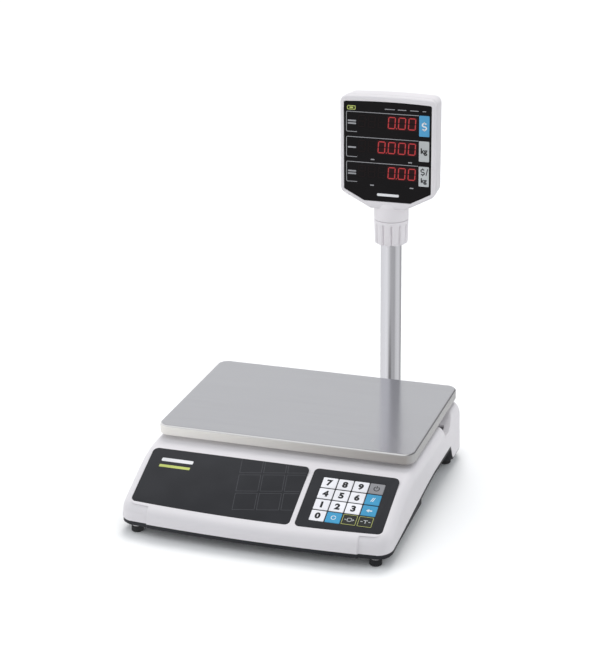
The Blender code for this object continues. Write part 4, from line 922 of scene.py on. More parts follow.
for row, names in enumerate(KEYS):
    for col, key in enumerate(names):
        x0, s0 = KEY_X0 + col * KEY_PITCH_X, KEY_S0 + row * KEY_PITCH_S
        x1, s1 = x0 + KEY_W, s0 + KEY_H
        cx, cs = (x0 + x1) / 2, (s0 + s1) / 2
        mat, slot = KEY_MAT.get(key, (KEY_WHITE, "key_white"))

        def edge(g, r):
            return rounded_box_outline(x0 + g, x1 - g, s0 + g, s1 - g, r, 5)

        levels = [(-2.6, rounded_box_outline(cx - 2.2, cx + 2.2, cs - 2.2, cs + 2.2, 0.5, 5)), (-1.2, rounded_box_outline(cx - 2.6, cx + 2.6, cs - 2.6, cs + 2.6, 0.5, 5)),
                  (-1.2, edge(0.0, 0.8)), (0.14, edge(0.0, 0.8)), (0.28, edge(0.12, 0.75)), (0.36, edge(0.45, 0.7)), (0.385, edge(1.2, 0.7)), (TOP - 0.01, edge(4.0, 0.7))]
        cap = outline_solid("cap_" + key[4:], None, levels, mat, slope_place, 50.0, body=key + "_button", slot=slot, stands_for=(key,))
        low, high = TOP - 0.03, TOP + 0.03
        legend, ink = Ink(), INK_BLACK
        if key[4:].isdigit():
            glyph_points, glyph_faces = glyphs(key[4:], 8.7, 0.055, 1.08)
            legend.points = [(cx + x, cs - y, low + z * (high - low)) for x, y, z in glyph_points]
            legend.faces = glyph_faces
        elif key == "key_power":
            legend.stroke(ring_path(cx, cs, 3.0, -60, 240, 24), 1.0, low, high)
            legend.slab([(cx - 0.5, cs - 4.0), (cx + 0.5, cs - 4.0), (cx + 0.5, cs - 0.3), (cx - 0.5, cs - 0.3)], low, high)
        elif key == "key_double_zero":
            ink = KEY_INK_WHITE
            for dx in (-1.0, 1.0):
                legend.slab([(cx + dx - 1.3, cs + 2.8), (cx + dx - 0.3, cs + 2.8), (cx + dx + 1.5, cs - 2.8), (cx + dx + 0.5, cs - 2.8)], low, high)
        elif key == "key_clear":
            ink = KEY_INK_WHITE
            legend.slab([(cx - 3.4, cs), (cx - 0.2, cs - 2.4), (cx - 0.2, cs + 2.4)], low, high)
            legend.slab([(cx - 0.2, cs - 0.8), (cx + 3.4, cs - 0.8), (cx + 3.4, cs + 0.8), (cx - 0.2, cs + 0.8)], low, high)
        elif key == "key_tare":
            ink = KEY_INK_WHITE
            legend.stroke(ring_path(cx, cs, 2.5, 0, 360 - 15, 24) , 0.8, low, high)
        else:
            ink = KEY_INK_LIME
            frame_path = rounded_box_outline(x0 + 0.55, x1 - 0.55, s0 + 0.55, s1 - 0.55, 0.6, 3)
            legend.stroke(frame_path, 0.5, 0.30, high, closed=True)
            icon = Ink()
            if key == "key_zero_set":
                icon.slab([(cx - 5.6, cs - 0.5), (cx - 3.4, cs - 0.5), (cx - 3.4, cs + 0.5), (cx - 5.6, cs + 0.5)], low, high)
                icon.stroke(rounded_box_outline(cx - 2.3, cx + 2.3, cs - 2.2, cs + 2.2, 1.0, 4), 0.7, low, high, closed=True)
                icon.slab([(cx + 3.6, cs - 1.5), (cx + 5.6, cs), (cx + 3.6, cs + 1.5)], low, high)
            else:
                icon.slab([(cx - 5.6, cs - 0.5), (cx - 3.2, cs - 0.5), (cx - 3.2, cs + 0.5), (cx - 5.6, cs + 0.5)], low, high)
                icon.slab([(cx - 2.4, cs - 2.3), (cx + 2.4, cs - 2.3), (cx + 2.4, cs - 1.5), (cx - 2.4, cs - 1.5)], low, high)
                icon.slab([(cx - 0.5, cs - 1.5), (cx + 0.5, cs - 1.5), (cx + 0.5, cs + 2.3), (cx - 0.5, cs + 2.3)], low, high)
                icon.slab([(cx + 3.4, cs - 0.5), (cx + 5.6, cs - 0.5), (cx + 5.6, cs + 0.5), (cx + 3.4, cs + 0.5)], low, high)
            icon.make("icon_" + key[4:], BLOCK_GREY, slope_place, key + "_button", "key_white")
        legend.make("legend_" + key[4:], ink, slope_place, key + "_button", "key_dark" if ink is INK_BLACK else "key_white")

# ------------------------------------------------------------ platter
def platter_ring(inset, z, steps=14):
    x, y = PLATTER_W / 2 - inset, PLATTER_D / 2 - inset
    r = max(0.6, 13.0 - inset)
    ring = []
    for cx, cy, a in ((x - r, -y + r, -90), (x - r, y - r, 0), (-x + r, y - r, 90), (-x + r, -y + r, 180)):
        for k in range(steps + 1):
            t = math.radians(a + 90.0 * k / steps)
            ring.append((cx + r * math.cos(t), cy + r * math.sin(t) + PLATTER_CY, z))
    return ring


SHEET, EDGE = 1.0, 2.6
rings = [platter_ring(SHEET + EDGE - 0.4, PLATTER_TOP - SHEET)]
for k in range(1, 5):
    t = math.pi / 2 * (1 - k / 4)
    rings.append(platter_ring(SHEET + (EDGE - SHEET) * (1 - math.cos(t)), PLATTER_TOP - SHEET - (EDGE - SHEET) * (1 - math.sin(t))))
bottom = PLATTER_TOP - PLATTER_SKIRT
rings += [platter_ring(SHEET, bottom + 0.3), platter_ring(SHEET - 0.2, bottom + 0.06), platter_ring(0.5, bottom), platter_ring(0.12, bottom + 0.1), platter_ring(0.0, bottom + 0.4)]
rings += [platter_ring(0.0, bottom + (PLATTER_SKIRT - EDGE) * k / 3) for k in (1, 2)]
for k in range(9):
    t = math.pi / 2 * k / 8
    rings.append(platter_ring(EDGE * (1 - math.cos(t)), PLATTER_TOP - EDGE * (1 - math.sin(t))))
rings.append(platter_ring(EDGE + 1.5, PLATTER_TOP))
points, faces = rings_mesh(rings, "fan", "fan")
piece("platter_steel_tray", points, faces, STEEL, "platter", "platter_steel", ("platter",), 40.0)

# ------------------------------------------------------------ pole, bracket, feet
low, high = POLE_LOW[2], POLE_HIGH[2]
turned("pole_tube", [(11.2, low + 0.2), (11.4, low), (POLE_R - 0.3, low), (POLE_R, low + 0.3), (POLE_R, (low + high) / 2), (POLE_R, high - 0.3), (POLE_R - 0.3, high), (11.4, high), (11.2, high - 0.2)],
       CHROME, (POLE_X, POLE_Y, 0), 96, body="base", slot="pole_chrome", stands_for=("pole",))
bracket = prism("bracket_moulded", rounded_box_outline(POLE_X - 33, POLE_X + 33, 17.0, 57.0, 6.0, 8), REAR_Y + 0.4, REAR_Y + 4.6, WHITE, lambda p: (p[0], p[2], p[1]), 34.0)
web = prism("bracket_web", [(POLE_X - 15, REAR_Y + 2), (POLE_X + 15, REAR_Y + 2), (POLE_X + 12.5, POLE_Y - 4), (POLE_X - 12.5, POLE_Y - 4)], 18.0, 55.0, None)
socket = turned("bracket_socket", [(0, 16.0), (15.4, 16.0), (16.4, 16.4), (17.2, 17.4), (17.2, 56.4), (16.9, 57.6), (16.2, 58.4), (0, 58.4)], None, (POLE_X, POLE_Y, 0), 72)
cut(bracket, [web, socket], "UNION")
tools = [turned("socket_bore", [(0, 19.0), (POLE_R + GAP, 19.0), (POLE_R + GAP, 57.6), (POLE_R + GAP + 0.8, 59.0), (POLE_R + GAP + 0.8, 70.0), (0, 70.0)], None, (POLE_X, POLE_Y, 0), 72)]
BRACKET_SCREWS = [(POLE_X + dx, z) for dx in (-26.5, 26.5) for z in (23.5, 50.5)]
for k, (sx, sz) in enumerate(BRACKET_SCREWS):
    tools.append(turned(f"bracket_well_{k}", [(0, 3.2), (3.9, 3.2), (3.9, 12.0), (0, 12.0)], None, (sx, REAR_Y, sz), 32, "Y"))
cut(bracket, tools)
settle(bracket, "base", "housing_white", "pole_bracket")
for k, (sx, sz) in enumerate(BRACKET_SCREWS):
    cross_screw(f"bracket_screw_{k + 1}", sx, REAR_Y + 3.3, sz, 3.2, "Y", "base")
cross_screw("pole_grub_screw", POLE_X, POLE_Y + 16.9, 36.0, 3.0, "Y", "base")

for tag, (fx, fy) in FEET.items():
    def ribs(t, h, r):
        return -0.35 * max(0.0, math.cos(24 * t)) ** 2 if 1.2 < h < 5.9 and r > 6 else 0.0

    turned("foot_rubber_" + tag, [(0, 0.35), (3.6, 0.35), (3.9, 0.0), (5.9, 0.0), (6.6, 0.3), (7.0, 1.0), (7.0, 1.3), (6.7, 5.8), (6.5, 6.1), (6.2, 6.8), (5.8, 7.0), (4.6, 7.0), (4.6, 3.0), (0, 3.0)],
           RUBBER, (fx, fy, 0), 96, wobble=ribs, body="foot_" + tag, slot="rubber_black", stands_for=("foot_pad_" + tag,))
    pitch = 1.25
    profile = [(0, 3.3), (4.2, 3.3), (4.2, 7.2), (5.6, 7.3), (6.0, 7.6), (6.0, 9.0), (5.6, 9.3), (3.7, 9.4)]
    z = 9.8
    while z < 20.6:
        profile += [(3.95, z + 0.15), (3.4, z + pitch * 0.5 + 0.1)]
        z += pitch
    profile += [(3.3, 21.8), (0, 21.8)]
    turned("foot_thread_" + tag, profile, ZINC, (fx, fy, 0), 40, body="foot_screw_" + tag, slot="fastener_steel", stands_for=("foot_stud_" + tag,), sharp=25.0)

# ------------------------------------------------------------ collar and neck
FLUTES = 12
COLLAR_LOW -= 3.4
COLLAR_H = COLLAR_HIGH - COLLAR_LOW


def flute(t, h, r):
    if r < POLE_R + 2.5:
        return 0.0
    u = (h - COLLAR_LOW) / COLLAR_H
    k = ((t + math.radians(14.0)) / (2 * math.pi) * FLUTES) % 1.0
    d = min(k, 1 - k) * 2                      # 0 in the groove, 1 on the crown
    depth = 2.5 * (1 - smooth01((u - 0.82) / 0.07))
    groove = math.exp(-(d / 0.20) ** 2)
    crown = 0.45 * (1 - d) ** 2
    edge = 0.9 * (1 - smooth01(u / 0.08)) * (1 - d) ** 1.5   # each flute ends in its own rounded tip
    return -(depth * groove + crown * (1 if u < 0.84 else 0.0) + edge)


profile = [(POLE_R + 0.4, COLLAR_HIGH), (POLE_R + 0.4, COLLAR_LOW + 0.6), (POLE_R + 0.9, COLLAR_LOW), (17.6, COLLAR_LOW), (18.9, COLLAR_LOW + 0.25), (19.8, COLLAR_LOW + 0.9), (20.2, COLLAR_LOW + 1.9)]
profile += [(20.2 + 0.6 * k / 12, COLLAR_LOW + 1.9 + (COLLAR_H - 6.2) * k / 12) for k in range(1, 13)]
profile += [(20.8, COLLAR_HIGH - 3.6), (20.8, COLLAR_HIGH - 3.0), (20.8, COLLAR_HIGH - 2.4), (20.8, COLLAR_HIGH - 0.4), (20.7, COLLAR_HIGH - 0.1), (20.4, COLLAR_HIGH)]
turned("clamp_collar_fluted", profile, WHITE_NECK_LIT_COPY, (POLE_X, POLE_Y, 0), FLUTES * 20, wobble=flute, body="clamp_collar", slot="housing_white", stands_for=("head_collar",), sharp=38.0)

profile = [(POLE_R + 0.4, NECK_LOW), (20.3, NECK_LOW), (20.7, NECK_LOW + 0.3), (20.8, NECK_LOW + 0.8), (20.8, 290.0), (20.9, 292.5), (21.3, 295.0), (21.5, 297.0), (20.6, 300.5), (16.4, 301.0), (POLE_R + 0.4, 301.0)]
turned("neck_socket", profile, WHITE_NECK_LIT_COPY, (POLE_X, POLE_Y, 0), 96, body="display_head", slot="housing_white", stands_for=("head_neck",), sharp=30.0)


# ------------------------------------------------------------ display head
def head_outline(half, top, side_low, bottom_half, bottom, radii, arch, steps=8, across=10):
    corners = [(-bottom_half, bottom), (bottom_half, bottom), (half, side_low), (half, top)]
    corners += [(half - 2 * half * k / across, top + arch * (1 - (1 - 2 * k / across) ** 2)) for k in range(1, across)]
    corners += [(-half, top), (-half, side_low)]
    r_bottom, r_low, r_top = radii
    all_r = [r_bottom, r_bottom, r_low, r_top] + [60.0] * (across - 1) + [r_top, r_low]
    full = rounded_polygon(corners, all_r, steps)
    flat = rounded_polygon(corners, all_r, 1)
    out = []
    for i, r in enumerate(all_r):
        out += full[i * (steps + 1):(i + 1) * (steps + 1)] if r < 50 else flat[i * 2:i * 2 + 2]
    return out


def head_ring(y, f):
    full = smooth01((HEAD_REAR_Y - 9.0 - y) / (HEAD_REAR_Y - 9.0 - HEAD_FRONT_Y))      # fuller toward the front rim
    wide, tall = 1.7 * full - 0.3 * (1 - full), 1.6 * full
    outline = head_outline(HEAD_HALF - f + wide, HEAD_TOP - f + tall, HEAD_SIDE_LOW + f * 0.24, HEAD_BOTTOM_HALF - f * 0.24, HEAD_BOTTOM + f - 0.5 * full,
                           (3.0, max(2.0, 10.0 - f), max(1.5, 9.0 - f)), TOP_ARCH)
    return [(x + POLE_X, y, z) for x, z in outline]


def window_ring(y, grow, radii=(2.0, 2.0, 2.2)):
    outline = head_outline(WIN_HALF + grow, WIN_TOP + grow, WIN_SIDE_LOW - grow * 0.24, WIN_BOTTOM_HALF + grow * 0.24, WIN_BOTTOM - grow, radii, TOP_ARCH)
    return [(x + POLE_X, y, z) for x, z in outline]


def head_shell(name, face_y, split_y, round_r, node):
    d = 1 if split_y > face_y else -1
    wall = 2.4
    lip = 0.4 if d > 0 else 0.15
    rings = [head_ring(split_y, lip + 0.5), head_ring(split_y - d * 0.3, lip + 0.12), head_ring(split_y - d * 0.75, lip)]
    if d < 0:
        rings.append(head_ring(face_y + d * round_r * 1.4, 0.5))
    for k in range(9):
        t = math.pi / 2 * k / 8
        start = 0.5 if d < 0 else lip
        rings.append(head_ring(face_y + d * round_r * (1 - math.sin(t)), start + (3.2 - start) * (1 - math.cos(t))))
    rings += [window_ring(face_y, GAP + 0.35), window_ring(face_y + d * 0.12, GAP + 0.1), window_ring(face_y + d * 0.4, GAP), window_ring(face_y + d * 2.9, GAP), window_ring(face_y + d * 2.9, -3.5),
              window_ring(face_y + d * 4.9, -3.5), head_ring(face_y + d * 4.9, wall + 1.6), head_ring(face_y + d * 6.0, wall), head_ring(split_y, wall)]
    points, faces = rings_mesh(rings, None, "loop")
    shell = piece(name, points, faces, WHITE_HEAD, sharp=34.0)
    cut(shell, [turned(name + "_neck_opening", [(0, 285), (16.8, 285), (16.9, 302.0), (0, 302.0)], None, (POLE_X, POLE_Y, 0), 64)])
    return settle(shell, "display_head", "housing_white", node)


head_shell("head_front_moulded", HEAD_FRONT_Y, HEAD_SPLIT - 0.2, 3.6, "head_front_shell")
head_shell("head_rear_moulded", HEAD_REAR_Y, HEAD_SPLIT + 0.2, 7.0, "head_rear_shell")
for name, y0, y1, d in (("front_window", HEAD_FRONT_Y + 0.25, HEAD_FRONT_Y + 2.55, 1), ("rear_window", HEAD_REAR_Y - 0.25, HEAD_REAR_Y - 2.55, -1)):
    rings = [window_ring(y0, -0.25), window_ring(y0 + d * 0.25, 0.0), window_ring(y1, 0.0)]
    points, faces = rings_mesh(rings, "fan", "fan")
    piece(name + "_acrylic", points, faces, WINDOW, "display_head", "window_dark", (name,), 30.0)

FACE = HEAD_FRONT_Y + 0.25


def place_front(p):
    return (POLE_X + p[0], FACE - p[2], p[1])


def place_rear(p):
    x, y, z = place_front(p)
    return (2 * POLE_X - x, HEAD_FRONT_Y + HEAD_REAR_Y - y, z)


SEGMENTS = {"0": "abcdef", "8": "abcdefg"}
DW, DH, SW = 9.3, 14.5, 1.2


def digit(ink, x, top, which, h0, h1, grow=0.0):
    """Seven-segment figure, its left edge at x and its top at top."""
    lean = math.tan(math.radians(3.5))

    def at(px, pz):
        return (x + px + (pz - DH / 2) * lean, top - DH + pz)

    w = SW / 2 + grow
    g = 0.22 - grow * 0.5
    x0, x1 = SW / 2, DW - SW / 2
    z0, z1, z2 = SW / 2, DH / 2, DH - SW / 2
    runs = {"a": ((x0, z2), (x1, z2)), "g": ((x0, z1), (x1, z1)), "d": ((x0, z0), (x1, z0)),
            "f": ((x0, z1), (x0, z2)), "b": ((x1, z1), (x1, z2)), "e": ((x0, z0), (x0, z1)), "c": ((x1, z0), (x1, z1))}
    for s in which:
        (ax, az), (bx, bz) = runs[s]
        u = Vector((bx - ax, bz - az)).normalized()
        n = Vector((-u.y, u.x))
        a, b = Vector((ax, az)) + u * g, Vector((bx, bz)) - u * g
        shape = [a, a + (u - n) * w, b - (u + n) * w, b, b - (u - n) * w, a + (u + n) * w]
        ink.slab([at(v.x, v.y) for v in shape], h0, h1)


ROWS = (412.0, 381.5, 351.0)
DIGIT_TOPS = (408.4, 378.1, 347.4)
LEFTS = (0.8, 13.2, 25.4)
for side, place in (("front", place_front), ("rear", place_rear)):
    body, slot = "display_head", "led_block"
    lit, off, halo = Ink(), Ink(), Ink()
    for row, top in enumerate(DIGIT_TOPS):
        lefts = ((-11.6,) if row == 1 else ()) + LEFTS
        for x in lefts:
            digit(lit, x, top, SEGMENTS["0"], 0.06, 0.12)
            digit(off, x, top, "g", 0.04, 0.07)
        for x in (-36.0, -23.8) + (() if row == 1 else (-11.5,)):
            digit(off, x, top, SEGMENTS["8"], 0.04, 0.07)
        first = lefts[0]
        lit.slab(ring_path(first + DW + 1.15, top - DH + 0.75, 0.72, 0, 345, 15), 0.06, 0.12)
        for x in lefts[1:]:
            off.slab(ring_path(x + DW + 1.15, top - DH + 0.75, 0.62, 0, 345, 15), 0.04, 0.07)
        halo.slab(rounded_box_outline(lefts[0] - 1.2, LEFTS[-1] + DW + 1.6, top - DH - 1.2, top + 1.2, 1.6, 5), 0.0, 0.03)
    halo.make(f"{side}_digit_halo", HALO, place, body, slot)
    off.make(f"{side}_digits_unlit", SEGMENT_OFF, place, body, slot)
    lit.make(f"{side}_digits_lit", SEGMENT, place, body, slot)

    lines = Ink()
    for z, low in zip(ROWS, (387.8, 357.2, 326.6)):
        path = [(38.0, z), (-48.8, z), (-49.9, z - 0.35), (-50.3, z - 1.5), (-50.3, low + 1.5), (-49.9, low + 0.35), (-48.8, low), (-37.2, low)]
        lines.stroke(path, 0.75, 0.03, 0.09)
    lines.make(f"{side}_row_lines", LINE_GREY, place, body, "overlay_dark")

    labels = Ink()
    for z, rows in ((399.4, 2), (368.7, 1), (338.0, 2)):
        for k in range(rows):
            zz = z + (0.5 - k) * 3.2 * (rows - 1)
            labels.slab(rounded_box_outline(-48.6, -38.4, zz - 0.95, zz + 0.95, 0.5, 3), 0.03, 0.08)
    for x0, x1 in ((-3.3, 9.0), (12.5, 23.0), (27.5, 37.6), (42.4, 46.8)):
        labels.slab(rounded_box_outline(x0, x1, 416.8, 417.7, 0.4, 3), 0.03, 0.08)
    for x, z in ((-18.0, 355.2), (28.0, 354.6), (-18.6, 323.6), (30.0, 323.4)):
        labels.slab(rounded_box_outline(x - 2.4, x + 2.4, z - 0.7, z + 0.7, 0.5, 3), 0.03, 0.08)
    labels.make(f"{side}_plain_bars", DIM_GREY if side == "rear" else LINE_GREY, place, body, "overlay_dark")

    mark = Ink()
    mark.slab(rounded_box_outline(-12.5, 14.5, 310.9, 314.1, 1.3, 5), 0.03, 0.09)
    mark.make(f"{side}_plain_mark", MARK_WHITE, place, body, "key_white")
    tag = Ink()
    tag.stroke(rounded_box_outline(-49.0, -39.4, 414.7, 418.9, 0.9, 4), 0.85, 0.03, 0.09, closed=True)
    tag.slab(rounded_box_outline(-46.4, -42.0, 415.9, 417.7, 0.4, 3), 0.03, 0.08)
    tag.make(f"{side}_lime_tag", MARK_LIME, place, body, "key_white")

    blue = Ink()
    blue.slab(rounded_box_outline(38.6, 51.0, 387.2, 412.3, 1.0, 4), 0.03, 0.09)
    blue.make(f"{side}_unit_block_blue", BLOCK_BLUE, place, body, "key_blue")
    grey = Ink()
    grey.slab(rounded_box_outline(38.6, 51.0, 356.9, 381.6, 1.0, 4), 0.03, 0.09)
    grey.slab(rounded_box_outline(38.6, 51.0, 326.6, 350.9, 1.0, 4), 0.03, 0.09)
    grey.make(f"{side}_unit_blocks_grey", BLOCK_GREY, place, body, "key_white")
    for name, cx, cz, size, wide, ink in (("currency", 44.9, 399.2, 7.6, 1.5, MARK_WHITE), ("rate_top", 43.4, 344.2, 6.2, 1.25, INK_BLACK)):
        unit = Ink()
        r = size / 4 + 0.1
        bend = [(cx + 1.25 * px, cz + pz) for px, pz in ring_path(0, r - 0.05, r, 28, 262, 14) + list(reversed(ring_path(0, 0.05 - r, r, -152, 82, 14)))]
        unit.stroke(bend, wide, 0.08, 0.13)
        for a, b in ((size / 2, size / 2 + 1.6), (-size / 2 - 1.6, -size / 2)):
            unit.slab([(cx - wide * 0.4, cz + a), (cx + wide * 0.4, cz + a), (cx + wide * 0.4, cz + b), (cx - wide * 0.4, cz + b)], 0.08, 0.13)
        if name == "rate_top":
            unit.slab([(cx + 3.6, cz - 4.0), (cx + 4.7, cz - 4.0), (cx + 6.6, cz + 4.2), (cx + 5.5, cz + 4.2)], 0.08, 0.13)
        unit.make(f"{side}_unit_{name}", ink, place, body, "key_white")
    for name, text, cx, cz, size, ink in (("mass", "kg", 44.8, 368.8, 8.8, INK_BLACK), ("rate_low", "kg", 44.9, 333.0, 7.8, INK_BLACK)):
        unit = Ink()
        glyph_points, glyph_faces = glyphs(text, size, 0.04)
        unit.points = [(cx + x, cz + y, 0.08 + 0.05 * z) for x, y, z in glyph_points]
        unit.faces = glyph_faces
        unit.make(f"{side}_unit_{name}", ink, place, body, "key_white")

# ------------------------------------------------------------ bubble level and inlet detail
low, high = mm("bubble_level")
bx, by, bz = (low[0] + high[0]) / 2, (low[1] + high[1]) / 2, low[2]
turned("level_bezel", [(7.0, bz + 0.05), (9.0, bz + 0.05), (9.0, bz + 3.4), (8.6, bz + 4.0), (7.6, bz + 4.1), (7.0, bz + 3.6)], WHITE, (bx, by, 0), 64, body="base", slot="housing_white", stands_for=("bubble_level",))
turned("level_liquid", [(0, bz + 0.3), (6.9, bz + 0.3), (6.9, bz + 3.0), (5.5, bz + 3.7), (3.0, bz + 4.0), (0, bz + 4.1)], LIQUID, (bx, by, 0), 64, body="base", slot="level_glass")
ring = Ink()
ring.stroke(ring_path(bx, by, 2.8, 0, 350, 36), 0.3, bz + 3.9, bz + 4.15, closed=True)
ring.make("level_ring", INK_BLACK, lambda p: p, "base", "key_dark")
jack_low, jack_high = mm("power_inlet")
turned("inlet_pin", [(0, 0), (0.95, 0), (0.95, 6.6), (0.6, 7.2), (0, 7.4)], ZINC, ((jack_low[0] + jack_high[0]) / 2, jack_high[1] - 8.0, (jack_low[2] + jack_high[2]) / 2), 24, "Y", body="base", slot="fastener_steel")

# ------------------------------------------------------------ finishes on the frame's own solids
KEEP = {
    "platter_support": CAST, "load_cell": MACHINED, "load_cell_base": MACHINED, "main_board": BOARD, "keypad_board": BOARD, "display_board": BOARD,
    "battery": CASE, "power_inlet": INLET, "signal_cable": RUBBER,
}
# the satin chrome keeps its studio stripes down to the deck: mirrors see the pole and the head, and the stage
for obj in bpy.data.objects:
    if obj.type == "MESH" and not obj.name.startswith(("pole", "head_", "neck", "clamp", "front_", "rear_")):
        obj.visible_glossy = False
for name, obj in NODES.items():
    if obj.hide_render:
        continue
    if name in KEEP:
        mat = KEEP[name]
    elif name.startswith("support_pad"):
        mat = RUBBER
    elif "bolt" in name:
        mat = ZINC
    elif "led_block" in name:
        mat = INLET
    else:
        mat = None
    if mat:
        obj.data.materials.clear()
        obj.data.materials.append(mat)

# ------------------------------------------------------------ stage, light, camera
floor_mesh = bpy.data.meshes.new("studio_floor")
reach, cells = 16.0, 8
grid = [(-reach + 2 * reach * i / cells, -reach + 2 * reach * j / cells, 0.0) for j in range(cells + 1) for i in range(cells + 1)]
floor_mesh.from_pydata(grid, [], [(j * (cells + 1) + i, j * (cells + 1) + i + 1, (j + 1) * (cells + 1) + i + 1, (j + 1) * (cells + 1) + i) for j in range(cells) for i in range(cells)])
floor = bpy.data.objects.new("studio_floor", floor_mesh)
bpy.context.scene.collection.objects.link(floor)
look = Look("studio_paper")
look.link(look.mix(look.ramp(look.noise(3.0, 3.0), 0.0, 1.0), (0.93, 0.935, 0.94), (0.945, 0.948, 0.95)), look.shader.inputs["Base Color"])
look.link(look.ramp(look.noise(8.0, 2.0), 0.86, 0.94), look.shader.inputs["Roughness"])
look.shader.inputs["Specular IOR Level"].default_value = 0.0
look.bump([(look.noise(1800.0, 2.0), 2e-5, 0.1)])
# painted reflection: mirrors of the floor see an emission wheel in place of the lit paper, darker toward the front
# right and behind right, like paper that falls off into an unlit studio
split = look.add("ShaderNodeSeparateXYZ")
look.link(look.coord, split.inputs[0])


def floor_math(operation, a, b=None):
    node = look.add("ShaderNodeMath", operation=operation)
    for i, v in enumerate((a, b)):
        if isinstance(v, (int, float)):
            node.inputs[i].default_value = v
        elif v is not None:
            look.link(v, node.inputs[i])
    return node.outputs[0]


east = floor_math("SUBTRACT", split.outputs["X"], POLE_X / 1000)
south = floor_math("SUBTRACT", POLE_Y / 1000, split.outputs["Y"])
turn = floor_math("ADD", floor_math("DIVIDE", floor_math("ARCTAN2", east, south), 2 * math.pi), 0.5)   # 0.5 faces -Y, rising toward +X
wheel = look.add("ShaderNodeValToRGB")
look.link(turn, wheel.inputs["Fac"])


def paint_wheel(ramp, stops):
    ramp.interpolation = "EASE"
    while len(ramp.elements) > 1:
        ramp.elements.remove(ramp.elements[-1])
    for i, (degrees, value) in enumerate(stops):
        at = (degrees / 360.0 + 0.5) % 1.0 if degrees != 180 else 1.0
        element = ramp.elements[0] if i == 0 else ramp.elements.new(at)
        element.position = at
        element.color = (value, value, value, 1.0)


MIRROR_WHEEL = [(-180, 0.62), (-100, 0.80), (-30, 0.86), (-8, 0.70), (14, 0.46), (52, 0.42), (78, 0.66), (110, 0.70), (138, 0.46), (162, 0.34), (180, 0.42)]
paint_wheel(wheel.color_ramp, MIRROR_WHEEL)
near = look.add("ShaderNodeValToRGB")
look.link(turn, near.inputs["Fac"])
paint_wheel(near.color_ramp, [(-180, 0.0), (-16, 0.0), (0, 1.0), (12, 1.0), (30, 0.0), (180, 0.0)])
away = floor_math("SQRT", floor_math("ADD", floor_math("MULTIPLY", east, east), floor_math("MULTIPLY", south, south)))
streak = floor_math("MULTIPLY", near.outputs["Color"], look.ramp(away, 0.80, 0.0, 0.14, 0.52))   # a painted dark reflection: a wedge low on the pole
struck = look.add("ShaderNodeMix", data_type="RGBA")
look.link(streak, struck.inputs[0])
look.link(wheel.outputs["Color"], struck.inputs[6])
struck.inputs[7].default_value = (0.04, 0.035, 0.035, 1.0)
painted_reflection = look.add("ShaderNodeEmission")
look.link(struck.outputs[2], painted_reflection.inputs["Color"])
path = look.add("ShaderNodeLightPath")
paper = look.shader.inputs["Base Color"].links[0].from_socket
# painted shade: the paper toward the front right turns darker for diffuse bounces only, shading the front and right
# faces of the scale
ahead = floor_math("ADD", floor_math("MULTIPLY", split.outputs["X"], 0.50), floor_math("MULTIPLY", split.outputs["Y"], -0.866))
bounce = floor_math("MULTIPLY", look.ramp(ahead, 0.0, 0.32, 0.02, 0.45), path.outputs["Is Diffuse Ray"])
bounce_shaded_paper = look.add("ShaderNodeMix", data_type="RGBA")
look.link(bounce, bounce_shaded_paper.inputs[0])
look.link(paper, bounce_shaded_paper.inputs[6])
bounce_shaded_paper.inputs[7].default_value = (0.0, 0.0, 0.0, 1.0)
look.link(bounce_shaded_paper.outputs[2], look.shader.inputs["Base Color"])
choose = look.add("ShaderNodeMixShader")
look.link(path.outputs["Is Glossy Ray"], choose.inputs[0])
look.link(look.shader.outputs[0], choose.inputs[1])
look.link(painted_reflection.outputs[0], choose.inputs[2])
output = [n for n in look.tree.nodes if n.type == "OUTPUT_MATERIAL"][0]
look.link(choose.outputs[0], output.inputs["Surface"])
floor_mesh.materials.append(look.mat)

world = bpy.data.worlds.new("studio_world")
bpy.context.scene.world = world
world.use_nodes = True
tree = world.node_tree
background = tree.nodes["Background"]


def world_node(kind, **values):
    node = tree.nodes.new(kind)
    for key, value in values.items():
        setattr(node, key, value)
    return node


def world_math(operation, a, b=None, clamp=False):
    node = world_node("ShaderNodeMath", operation=operation, use_clamp=clamp)
    for i, v in enumerate((a, b)):
        if v is None:
            continue
        if isinstance(v, (int, float)):
            node.inputs[i].default_value = v
        else:
            tree.links.new(v, node.inputs[i])
    return node.outputs[0]


direction = world_node("ShaderNodeTexCoord").outputs["Generated"]
split = world_node("ShaderNodeSeparateXYZ")
tree.links.new(direction, split.inputs[0])
# reflections see a plain studio, a little darker to the right and overhead
height = world_node("ShaderNodeMapRange", interpolation_type="SMOOTHSTEP")
tree.links.new(split.outputs["Z"], height.inputs["Value"])
height.inputs["From Min"].default_value = 0.15
height.inputs["From Max"].default_value = 0.75
height.inputs["To Min"].default_value = 0.79
height.inputs["To Max"].default_value = 0.62
sideways = world_node("ShaderNodeMapRange", interpolation_type="SMOOTHSTEP")
tree.links.new(split.outputs["X"], sideways.inputs["Value"])
sideways.inputs["From Min"].default_value = -0.25
sideways.inputs["From Max"].default_value = 0.55
sideways.inputs["To Min"].default_value = 1.0
sideways.inputs["To Max"].default_value = 0.55
def world_lobe(x, y, low, high, a, b):
    """Smooth step from a to b as the direction turns to face (x, y)."""
    facing = world_math("ADD", world_math("MULTIPLY", split.outputs["X"], x), world_math("MULTIPLY", split.outputs["Y"], y))
    node = world_node("ShaderNodeMapRange", interpolation_type="SMOOTHSTEP")
    tree.links.new(facing, node.inputs["Value"])
    for key, value in (("From Min", low), ("From Max", high), ("To Min", a), ("To Max", b)):
        node.inputs[key].default_value = value
    return node.outputs["Result"]


